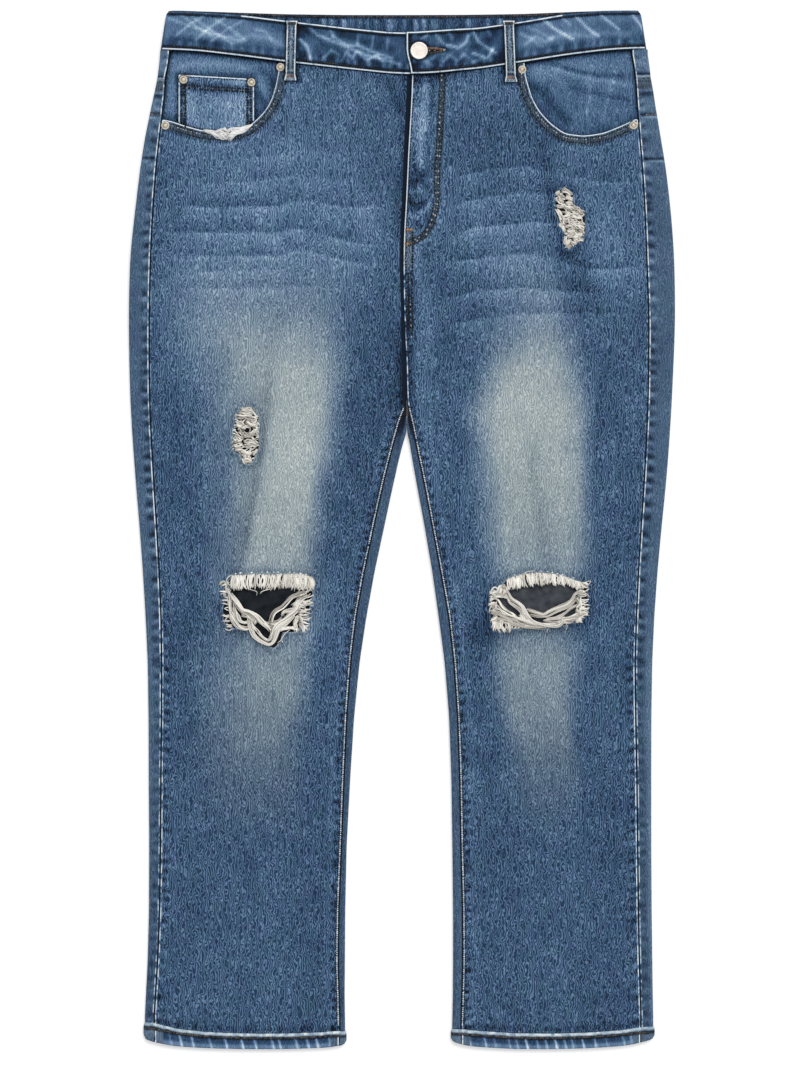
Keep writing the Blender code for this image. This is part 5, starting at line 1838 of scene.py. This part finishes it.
# the fly: two rows with lint caught between them
jay = smoothPath(flyStitching, 1.0, 4.0)
flyRows = [
    (-2.6, "navy", "seam", 0), (2.6, "navy", "seam", 0), (-1.0, "brown", "fine", 0.3),
    (0.9, "grey", "bead", 0.05), (-1.2, "grey", "bead", 0.5),
]
for away, thread, kind, skip in flyRows:
    sew(thread, beside(jay, away), kind, skip)
for down in (219.5, 233.5):
    edge = float(frontInner[left](down))
    sew("orange", [(edge + 1.2, down), (edge + 9.0, down + 0.3)], "satin")
sew("navy", [(10.8, 221), (10.4, 262)], "waist")
sew("navy", [(4.6, 222), (4.4, 262)], "fine", 0.3)
for x in (6.2, 9.8):
    sew("navy", [(x, 262), (x + 0.4, 292), (x + 1, 322)], "waist", 0.1)
sew("grey", [(7.6, 264), (8.2, 292), (9.5, 330)], "bead", 0.1)
# coin pocket
for across in (-220.0, -216.2, -154.4, -150.6):
    sew("navy", [(across, 67), (across, mouths[right][:, 1].max() - 3)], "waist", 0.08)
sew("navy", [(-219, 75.0), (-151, 79.4)], "waist", 0.05)
sew("navy", [(-219, 78.0), (-151, 82.2)], "waist", 0.1)
sew("brown", [(-219, 76.5), (-151, 80.8)], "fine", 0.4)
sew("navy", [(-212, 67.2), (-158, 70.4)], "fine", 0.2)
sew("rust", [(-221, 66.2), (-212, 66.8)], "satin")
# belt loops
for name, (middle, top, width, shift) in loopShapes.items():
    end = float(bandSeam(middle)) + 17.5
    lane = lambda share, offset: middle + shift * (share - 0.5) + offset
    for offset in (-(width / 2 - 3.0), width / 2 - 3.0):
        sew("navy", [(lane(0.12, offset), top + 6), (lane(0.82, offset), end - 11)], "fine", 0.05)
    sew("brown", [(lane(0, -4.2), top + 3.6), (lane(0, 4.2), top + 3.6)], "satin")
    sew("rust", [(lane(1, -3.8), end - 4.2), (lane(1, 3.8), end - 4.2)], "satin")
# broken weft caught along the tops of the fringes
sew("pale", [(-169, 563.0), (-160, 561.6), (-140, 561.2), (-110, 561.2), (-91, 564)], "bead", 0.3)
sew("pale", [(105, 567), (113, 563.8), (135, 560.1), (147, 560.7), (168, 565.8), (180, 570)], "bead", 0.3)
# buttonhole
for rise, thread in ((-1, "rust"), (1, "brown")):
    sew(thread, [(25.0, 41.8 + rise * 2.6), (34, 41.6 + rise * 2.1), (41, 41.2 + rise * 0.6)], "satin")
sew("grey", [(24.5, 41.6), (33, 41.6)], "bead")
sew("grey", [(41, 41.2), (44, 41)], "satin")

bm = bmesh.new()
bmesh.ops.create_uvsphere(bm, u_segments=6, v_segments=4, radius=0.5)
beadVerts = np.array([vertex.co[:] for vertex in bm.verts])
beadFaces = [[vertex.index for vertex in face.verts] for face in bm.faces]
bm.free()
for thread, stitches in sewn.items():
    verts, faces = [], []
    for index, (x, down, z, turn, length, width) in enumerate(stitches):
        shape = beadVerts * (length, width, width * 0.8)
        cos, sin = math.cos(turn), math.sin(turn)
        spun = shape @ np.array([(cos, sin, 0), (-sin, cos, 0), (0, 0, 1)])
        verts.append(spun + (x, zeroLine - down, z + width * 0.12))
        faces += [[corner + index * len(beadVerts) for corner in face] for face in beadFaces]
    shades = np.repeat(chance.uniform(0, 1, len(stitches)), len(beadVerts))
    joinedCopies("stitches_" + thread, np.concatenate(verts) / 1000, faces, threads[thread], shades)
print("stitches made:", sum(len(stitches) for stitches in sewn.values()))


# frayed cotton at the rips

yarnLook = {"sides": 5, "thinning": 0.55}


def tubes(name, strands, material):
    # each strand is a run of (x, down, z) points, a radius and a range of shade: a closed tube with thin ends
    verts, faces, shades, count, sides = [], [], [], 0, yarnLook["sides"]
    around = np.linspace(0, math.tau, sides + 1)[:-1]
    for points, radius, low, high in strands:
        places = points * (1, -1, 1) + (0, zeroLine, 0)
        run = np.gradient(places, axis=0)
        run /= np.maximum(np.linalg.norm(run, axis=1), 1e-9)[:, None]
        across = np.cross(run, (0.05, 0.03, 1.0))
        across /= np.maximum(np.linalg.norm(across, axis=1), 1e-9)[:, None]
        upward = np.cross(across, run)
        share = np.linspace(0, 1, len(places))
        toEnd = np.maximum(ease(0.82, 1, share), 1 - ease(0, 0.1, share))
        thick = radius * (1 - yarnLook["thinning"] * toEnd)
        cos, sin = np.cos(around)[None, :, None], np.sin(around)[None, :, None]
        ring = across[:, None] * cos + upward[:, None] * sin
        verts.append((places[:, None] + ring * thick[:, None, None]).reshape(-1, 3))
        total = len(places) * sides
        # its two ends get painted shade, as they lie under their neighbours
        lit = 0.7 + 0.3 * ease(0, 0.25, share) * (1 - 0.5 * ease(0.85, 1, share))
        shades.append(np.repeat(chance.uniform(low, high) * lit, sides))
        first = np.arange(total - sides)
        following = (first // sides) * sides + (first + 1) % sides
        quads = np.stack([first, following, following + sides, first + sides], 1) + count
        faces += quads.tolist()
        faces.append((np.arange(sides)[::-1] + count).tolist())
        faces.append((np.arange(sides) + count + total - sides).tolist())
        count += total
    return joinedCopies(name, np.concatenate(verts) / 1000, faces, material, np.concatenate(shades))


def strandsAlong(side, points, count, radius, level=1.0, loose=0.35):
    # a rope: strands side by side along a path of (x, down, half width), weaving a little
    path = smoothPath(points, 1.5, 1.8)
    normal = normalsOf(path)
    share = np.linspace(0, 1, len(path))
    made = []
    for k in range(count):
        lane = (k + 0.5) / count * 2 - 1
        phase, waves = chance.uniform(0, math.tau), chance.uniform(0.8, 2.2)
        weave = lane + loose * np.sin(share * math.tau * waves + phase)
        xy = path[:, :2] + normal * (path[:, 2] * weave)[:, None]
        xy = xy + chance.normal(0, 0.1, 2)
        lift = level + 0.8 * path[:, 2] * np.sqrt(np.clip(1 - weave * weave * 0.8, 0, 1))
        z = frontMid(side, xy[:, 0], xy[:, 1]) + 0.4 + lift + 0.35 * np.cos(share * math.tau * waves + phase)
        made.append((np.column_stack([xy, z]), radius * chance.uniform(0.8, 1.2), 0.25, 1.0))
    return made


def hairsBetween(side, base, tips, count, radius, level=1.2, curl=1.2, ragged=0.18):
    # a fringe: hairs from one line to another, uneven in length, lean and curl
    base, tips = np.array(base, float), np.array(tips, float)
    made = []
    for k in range(count):
        at = (k + chance.uniform(0.1, 0.9)) / count
        end = np.clip(at + chance.normal(0, 0.6 / count + 0.006), 0, 1)
        lineAt = lambda line, where: np.array(
            [np.interp(where * (len(line) - 1), np.arange(len(line)), line[:, j]) for j in (0, 1)]
        )
        start, finish = lineAt(base, at), lineAt(tips, end)
        finish = start + (finish - start) * chance.uniform(1 - ragged, 1 + ragged * 0.6)
        share = np.linspace(0, 1, 8)[:, None]
        span = finish - start
        swing = np.array([-span[1], span[0]]) / max(np.hypot(*span), 1e-6) * chance.normal(0, curl)
        xy = start + span * share + swing * np.sin(share * math.pi)
        arch = level * (0.35 + np.sin(share[:, 0] * math.pi * 0.85)) * chance.uniform(0.6, 1.2)
        z = frontMid(side, xy[:, 0], xy[:, 1]) + 0.5 + arch
        made.append((np.column_stack([xy, z]), radius * chance.uniform(0.75, 1.25), 0.5, 1.0))
    return made


def matOver(side, name, count, radius, level, slope):
    # a tangle of short strands that fills a small hole and runs a little way over its rim
    x0, x1, d0, d1 = box(name)
    rim = ripRim(side, name)
    made = []
    while len(made) < count:
        spot = np.array([chance.uniform(x0, x1), chance.uniform(d0, d1)])
        turn = math.radians(chance.normal(slope, 38))
        reach = np.array([math.cos(turn), math.sin(turn)]) * chance.uniform(4, 7)
        tips = np.array([spot - reach, spot + reach])
        if not isInside(spot[:1], spot[1:], rim)[0]:
            continue
        for index in (0, 1):
            while not isInside(tips[index, :1], tips[index, 1:], rim)[0]:
                tips[index] = spot + (tips[index] - spot) * 0.8
            tips[index] = spot + (tips[index] - spot) * 1.25
        bend = (tips[0] + tips[1]) / 2 + chance.normal(0, 1.0, 2)
        points = [(*spot, 0.3) for spot in (tips[0], bend, tips[1])]
        made += strandsAlong(side, points, 1, radius, level + chance.uniform(0, 0.5), 0.4)
    return made


def ropes(side, lines, radius, loose):
    # each line has its points, its half width, its count of strands and its height
    made = []
    for points, half, count, level in lines:
        path = [(x, down, half) for x, down in points]
        made += strandsAlong(side, path, count, radius, level, loose)
    return made


def bars(side, ends, swayed, radius, height, loose):
    # short twisted bundles from (x, down) to (x, down), each with its half width, bent a little
    made = []
    for x0, d0, x1, d1, half in ends:
        bend = [(x0 + x1) / 2, (d0 + d1) / 2]
        for axis in swayed:
            bend[axis] += chance.normal(0, 0.8)
        level = 1.2 + chance.uniform(0, height)
        made += ropes(side, [([(x0, d0), bend, (x1, d1)], half, 4, level)], radius, loose)
    return made


# the fringe along the top of each knee rip, from its root to its tips
kneeFringes = {
    right: [
        [(-170, 563.6), (-160, 562.2), (-140, 562), (-122, 562), (-110, 562), (-100, 562.6), (-89.5, 566)],
        [(-172, 579), (-160, 578.5), (-142, 577.5), (-126, 578), (-109, 578), (-99, 579), (-88, 578.5)],
    ],
    left: [
        [(104, 568), (113, 564.5), (123, 562), (135, 560.8), (147, 561.5), (158, 563.5), (168, 566.5),
         (177, 570), (182, 572)],
        [(105, 579), (114, 577.5), (126, 575.5), (137, 574.3), (148, 573.3), (158, 574.5), (168, 575),
         (176, 579), (185, 577)],
    ],
}
# what frays at each rip, in the order that it is laid: how it is made and its measures
frays = {
    "threads_knee_right": [
        (hairsBetween, *kneeFringes[right], 84, 0.8, 1.6, 1.4, 0.12),
        (hairsBetween, *kneeFringes[right], 36, 0.6, 2.1, 2.6, 0.3),
        (hairsBetween, [(-172, 570), (-171, 600), (-169, 618)], [(-181, 572), (-180, 598), (-178, 617)],
         20, 0.6, 1.2, 1.8, 0.4),
        (hairsBetween, [(-105, 580), (-104, 600), (-103, 616)], [(-90, 576), (-90.5, 598), (-95, 621)],
         32, 0.65, 1.4, 1.8, 0.35),
        (ropes, [
            ([(-171, 582), (-170.3, 584.3), (-163.7, 592.7), (-158.7, 599.3), (-152, 600.2),
             (-145.3, 604.3), (-140.3, 610.2), (-132.8, 616.8), (-131.2, 619.3)], 1.7, 4, 2.0),
            ([(-172, 586), (-168, 587), (-163, 597), (-158, 602.5), (-149.5, 604.5), (-143.7, 608.5),
             (-137, 614.5), (-131.2, 618)], 1.3, 3, 1.4),
            ([(-96, 581), (-103.7, 584), (-110.3, 586), (-115.3, 591), (-120.3, 596), (-125.3, 598.5),
             (-128.7, 602.7), (-130.3, 609.3), (-131.2, 613)], 1.9, 4, 1.8),
            ([(-94, 584.3), (-102.8, 588.5), (-105.3, 597.7), (-112, 604.3), (-117.8, 609.3),
             (-123.7, 612.7), (-128.7, 617.7), (-129.5, 622.7), (-132.8, 629.3)], 2.2, 5, 1.6),
            ([(-153, 607), (-151.6, 615), (-147.8, 624.3), (-142, 629.3), (-136.2, 632.2), (-132, 633.8),
             (-127.8, 630.5), (-125.3, 622.7), (-123.7, 616.8), (-116.2, 612), (-107, 604.3)], 1.7, 4, 2.2),
            ([(-151, 610), (-147.5, 616.8), (-142, 622.7), (-137, 627.7), (-133, 630.5), (-129.5, 626.5)],
             1.2, 3, 1.6),
            ([(-172, 586), (-171.5, 590), (-170.3, 601), (-167.8, 609.3), (-162.8, 615.2), (-155.3, 617.7),
             (-151.2, 616)], 2.4, 6, 1.3),
            ([(-168, 596), (-164.5, 604.3), (-162, 610.2), (-157, 611.8), (-151.2, 610)], 1.5, 4, 1.2),
            ([(-160, 603), (-152, 606), (-146, 610), (-148, 613)], 1.8, 4, 0.6),
            ([(-139, 611), (-133, 613), (-127, 612), (-121, 609), (-117, 606)], 2.2, 4, 0.6),
            ([(-108, 596), (-104, 590), (-100, 592), (-97, 596)], 3.0, 6, 1.0),
            ([(-119.5, 605), (-119, 601), (-113, 600), (-107, 597), (-101, 598)], 1.6, 4, 1.8),
            ([(-122.8, 619.3), (-115.3, 616.8), (-108.7, 616), (-104.5, 617.7), (-106, 621.5)],
             1.6, 4, 1.0),
            ([(-103.7, 604.3), (-106.5, 610), (-106.5, 616.8)], 1.7, 4, 2.0),
            ([(-102.5, 604.3), (-99.8, 609), (-99.5, 615)], 1.1, 3, 2.2),
            ([(-100.3, 612), (-98.5, 617), (-97.8, 621.5)], 1.2, 3, 1.4),
            ([(-182, 574), (-180.5, 570.5), (-176.5, 570), (-174.5, 573.5), (-177, 577.5), (-171, 580)],
             0.8, 3, 1.6),
            ([(-177.5, 586), (-178, 581.5), (-174, 580), (-171.5, 583), (-173.5, 587.5)], 1.0, 3, 1.4),
        ], 0.8, 0.35),
        (ropes, [
            ([(-112, 618.5), (-117.8, 622.7), (-120.3, 628.5), (-124.5, 631.8)], 0.1, 1, 2.0),
            ([(-120.3, 628.5), (-118.7, 631.8)], 0.1, 1, 2.0),
            ([(-155, 577), (-149, 579), (-143.7, 580.2), (-145.3, 584.3)], 0.1, 1, 2.0),
            ([(-130.3, 577.7), (-140.3, 580.2), (-141.6, 583)], 0.1, 1, 2.0),
            ([(-137, 631), (-140.5, 634)], 0.1, 1, 2.0),
        ], 0.42, 0),
    ],
    "threads_knee_left": [
        (hairsBetween, *kneeFringes[left], 78, 0.8, 1.5, 1.3, 0.16),
        (hairsBetween, *kneeFringes[left], 34, 0.6, 2.0, 2.4, 0.35),
        (hairsBetween, [(104, 611), (120, 614), (140, 613), (158, 611)], [(103, 618.5), (120, 617),
         (140, 617), (160, 615)], 44, 0.8, 0.8, 2.2, 0.2),
        (hairsBetween, [(97, 578), (95, 592), (96, 612)], [(88, 579), (87.5, 594), (90, 618)],
         32, 0.7, 1.4, 1.8, 0.35),
        (hairsBetween, [(175, 578), (174, 598), (172, 610)], [(186, 577), (186, 600), (180, 612)],
         34, 0.7, 1.3, 1.8, 0.35),
        (hairsBetween, [(92, 606), (98, 606), (106, 607)], [(90, 619), (98, 620), (107, 620)],
         18, 0.95, 1.8, 2.4, 0.25),
        (hairsBetween, [(97, 574), (103, 573)], [(93, 583), (102, 584)], 14, 0.7, 2.0, 1.6, 0.2),
        (ropes, [
            ([(103.8, 579), (108.8, 587.3), (114.7, 590.7), (119.7, 594.8), (123, 602.3), (128, 609),
             (134.7, 612.3), (144.7, 614), (155.5, 614.5), (160.5, 610.7), (159.7, 604.8)], 1.7, 4, 2.4),
            ([(103.8, 583), (107.2, 591.5), (113.8, 595.7), (118.8, 599.8), (121.3, 605.7), (126.3, 610.7)],
             1.2, 3, 1.6),
            ([(124, 598.4), (133, 601.5), (141.3, 603.6), (144.7, 600.7), (149.7, 598.2), (157.2, 595.7),
             (164.7, 593.2), (169.7, 589), (172.2, 582.3), (178, 580.3), (182, 582.3)], 1.5, 4, 1.9),
            ([(127, 603.5), (136.3, 605.4), (143.8, 605.8), (148.8, 603.6), (157.2, 599.4), (164.7, 596),
             (170.5, 591.8), (174.7, 585.7)], 1.1, 3, 1.6),
            ([(143.8, 607), (153, 607.3), (161.3, 602.6), (168.8, 597), (175.5, 593.2)], 0.9, 3, 1.3),
            ([(88.8, 600), (98.8, 602), (109, 606), (117, 610), (126, 611.5), (136, 613.5)], 3.2, 8, 1.2),
            ([(91, 609), (101, 609.5), (112, 612.5), (122, 615.5), (134, 615.5), (143, 615.5)],
             2.2, 6, 1.0),
            ([(90.5, 585.7), (96.3, 589), (99.7, 595.7), (105.5, 599.8), (111.3, 603.2), (115, 607.3)],
             0.9, 3, 2.0),
            ([(92, 592), (94, 597), (99, 600), (104, 603)], 2.0, 4, 1.4),
            ([(90.5, 586), (96, 584.5), (102, 584), (106, 587)], 1.5, 4, 1.6),
            ([(141, 610), (155.5, 609.4), (166.3, 607), (173.8, 604), (183, 602.3)], 2.2, 4, 1.0),
            ([(150, 612), (160, 611.5), (168, 610), (176, 606.5)], 1.6, 4, 1.2),
            ([(176, 586), (178, 592), (175, 598), (178, 604)], 2.6, 4, 1.2),
            ([(118, 603), (121, 608), (125, 612)], 2.0, 4, 1.0),
            ([(99, 577), (104, 575), (105.5, 579), (101, 583.5), (94, 584)], 1.3, 4, 2.0),
            ([(180, 572), (184, 571.5), (185, 575)], 1.2, 3, 1.8),
        ], 0.8, 0.35),
        (ropes, [
            ([(108, 622), (109, 615), (111.5, 612)], 0.1, 1, 1.8),
            ([(144.7, 622), (144, 618), (148, 615.5)], 0.1, 1, 1.8),
            ([(139.5, 613), (141.5, 616)], 0.1, 1, 1.8),
            ([(160.5, 606), (165.5, 615.5), (163, 620)], 0.1, 1, 1.8),
            ([(87.5, 582), (90.5, 577.5), (93, 580.5)], 0.1, 1, 1.8),
            ([(86.5, 595), (92, 590.8)], 0.1, 1, 1.8),
            ([(175, 580), (185, 584.5)], 0.1, 1, 1.8),
            ([(178, 593), (184.5, 594)], 0.1, 1, 1.8),
            ([(177, 604), (187, 604)], 0.1, 1, 1.8),
            ([(160, 573), (159, 566), (156, 563)], 0.1, 1, 1.8),
            ([(120, 564), (125, 560.5), (133, 560)], 0.1, 1, 1.8),
            ([(146, 562), (150, 564.5)], 0.1, 1, 1.8),
        ], 0.42, 0),
    ],
    "threads_thigh_right": [
        (matOver, "threads_thigh_right", 44, 0.9, 0.2, 0),
        (bars, [
            (-161, 399, -149, 399.5, 1.6), (-163, 403, -149, 402, 1.8), (-164.5, 406, -148.5, 408, 2.0),
            (-166, 410, -158, 415, 1.9), (-152, 410, -145, 408.5, 1.4), (-156, 411, -146, 415.5, 1.6),
            (-166, 414, -156, 418, 1.6), (-163, 420, -153, 424.5, 2.1), (-152.5, 424, -144, 418, 1.5),
            (-167, 424, -158, 428, 1.7), (-158, 426, -146.5, 423, 1.8), (-168, 430, -160, 431, 1.8),
            (-168, 434, -159, 433, 2.0), (-158, 431, -145.5, 430, 2.3), (-167, 438.5, -160, 437, 1.3),
            (-157, 435, -145, 434, 1.6), (-161, 440, -150, 443, 1.7), (-149, 444, -144.5, 438, 0.9),
            (-159, 446, -152, 441, 1.5), (-158, 449, -150.5, 447, 2.0), (-159.5, 447.5, -156, 453.5, 1.1),
            (-153, 444, -151, 452, 1.3),
        ], (1,), 0.68, 0.6, 0.3),
        (hairsBetween, [(-163, 402), (-166, 420), (-166, 438)], [(-167, 403), (-169.5, 420), (-170, 440)],
         16, 0.5, 1.0, 1.0, 0.3),
        (hairsBetween, [(-147, 402), (-146, 420), (-146, 436)], [(-144, 404), (-142.5, 421), (-142.5, 437)],
         14, 0.5, 1.0, 1.0, 0.3),
        (ropes, [
            ([(-150, 407), (-147.5, 405.5), (-145, 408), (-146, 412), (-149.5, 412)], 0.5, 2, 2.2),
        ], 0.5, 0.2),
    ],
    "threads_hip_left": [
        (matOver, "threads_hip_left", 66, 0.9, 0.2, 25),
        (bars, [
            (153, 184.5, 157, 181, 1.4), (156, 185, 163, 189, 1.8), (160, 179, 169, 184.5, 1.9),
            (155, 189, 161, 193, 1.6), (163, 187, 170, 190, 1.7), (154, 196, 163, 194, 1.2),
            (163, 193, 170, 194, 1.4), (170, 196, 181, 203, 1.8), (154.5, 199, 161, 210, 1.0),
            (161, 197, 171, 199, 1.3), (158, 208, 172, 204, 1.1), (157, 206, 163, 214, 2.2),
            (168, 206, 180, 208, 2.2), (167, 210, 179, 214, 2.0), (157, 213, 163, 221, 1.5),
            (165, 208, 172, 220, 1.0), (169, 213, 182, 219, 2.0), (164, 222, 170, 219, 1.8),
            (165, 228, 170, 222, 1.6), (171, 219, 174, 226, 0.9), (170, 228, 180, 224, 1.2),
            (171, 229, 181, 230, 1.5), (164, 236, 168, 229, 1.3), (168, 232, 174, 234, 1.1),
            (177, 219, 181, 224, 1.3), (163, 226, 163, 235, 1.2), (162, 216, 172, 214, 1.4),
        ], (0, 1), 0.7, 0.8, 0.35),
        (ropes, [([(161, 178.5), (166, 181), (170, 185)], 0.8, 3, 2.2)], 0.6, 0.2),
        (ropes, [([(152.5, 199), (156, 204), (159, 210), (164, 209), (170, 206)], 0.5, 2, 2.6)], 0.5, 0.2),
    ],
    # the pocket lining and weft showing where the right pocket's mouth has worn through
    "pocket_mouth": [
        (strandsAlong, [(-198, 120.3, 0.4), (-192, 122.2, 1.3), (-186, 123.6, 3.0), (-179.5, 124.5, 4.8),
         (-174, 125.3, 5.2)], 11, 0.95, 1.3, 0.3),
        (strandsAlong, [(-174, 126, 4.9), (-168, 123.6, 4.6), (-161, 120.4, 3.2), (-155, 118, 1.6),
         (-149, 114.8, 0.4)], 11, 0.95, 1.5, 0.3),
        (hairsBetween, [(-184, 121), (-177, 119.5), (-172, 121)], [(-182, 127), (-175.5, 129.5),
         (-171, 130)], 22, 0.7, 2.6, 1.4, 0.2),
        (hairsBetween, [(-179, 121.5), (-174.5, 122)], [(-178, 117.5), (-176.5, 117.8)],
         5, 0.6, 2.6, 0.8, 0.2),
    ],
}
for name, steps in frays.items():
    side = left if name.endswith("left") else right
    strands = []
    for make, *measures in steps:
        strands += make(side, *measures)
    if name == "pocket_mouth":
        tubes("yarn_pocket_mouth", strands, lining)
    else:
        tubes("yarn_" + name[8:], strands, cotton)
        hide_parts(name)
print("frayed yarn made")


# the floor

paper = {"half": 6, "level": -0.0002, "colour": "#f4f4f4", "glow": 0.27}
bm = bmesh.new()
bmesh.ops.create_grid(bm, x_segments=1, y_segments=1, size=paper["half"])
floorMesh = bpy.data.meshes.new("floor")
bm.to_mesh(floorMesh)
bm.free()
floor = bpy.data.objects.new("floor", floorMesh)
floor.location.z = paper["level"]
bpy.context.scene.collection.objects.link(floor)
material, tree, shader = startMaterial("white paper", Roughness=1.0)
shader.inputs["Base Color"].default_value = linear(paper["colour"])
shader.inputs["Specular IOR Level"].default_value = 0.0
# it glows a little for whoever looks at it, and lights nothing by that
rays = addNode(tree, "ShaderNodeLightPath").outputs
seen = addNode(tree, "ShaderNodeMath", {0: rays["Is Camera Ray"], 1: rays["Is Glossy Ray"]}, operation="ADD")
seen = addNode(tree, "ShaderNodeMath", {0: seen.outputs[0], 1: rays["Is Transmission Ray"]}, operation="ADD")
strength = addNode(tree, "ShaderNodeMath", {0: seen.outputs[0], 1: paper["glow"]}, operation="MULTIPLY")
glow = addNode(tree, "ShaderNodeEmission", {"Strength": strength.outputs[0]})
both = addNode(tree, "ShaderNodeAddShader", {0: shader.outputs[0], 1: glow.outputs[0]})
tree.links.new(both.outputs[0], tree.nodes["Material Output"].inputs["Surface"])
floorMesh.materials.append(material)


# camera and light

view = {"lens": 85, "sensor": 36, "at": (-0.002, -0.004, 2.519)}
light = {"colour": "#ffffff", "ambient": 0.62, "tilt": 42, "turn": 25, "softness": 35}
camera = bpy.data.objects.new("camera", bpy.data.cameras.new("camera"))
bpy.context.scene.collection.objects.link(camera)
camera.data.lens = view["lens"]
camera.data.sensor_width = view["sensor"]
camera.location = view["at"]
bpy.context.scene.camera = camera

world = bpy.data.worlds.new("soft white")
bpy.context.scene.world = world
world.use_nodes = True
world.node_tree.nodes["Background"].inputs["Color"].default_value = linear(light["colour"])
world.node_tree.nodes["Background"].inputs["Strength"].default_value = light["ambient"]
lamp = bpy.data.objects.new("window", bpy.data.lights.new("window", "SUN"))
lamp.data.energy = math.pi * (1 - light["ambient"]) / math.cos(math.radians(light["tilt"]))
lamp.data.angle = math.radians(light["softness"])
lamp.rotation_euler = (math.radians(-light["tilt"]), 0, math.radians(-light["turn"]))
bpy.context.scene.collection.objects.link(lamp)

bpy.context.scene.view_settings.view_transform = "Standard"
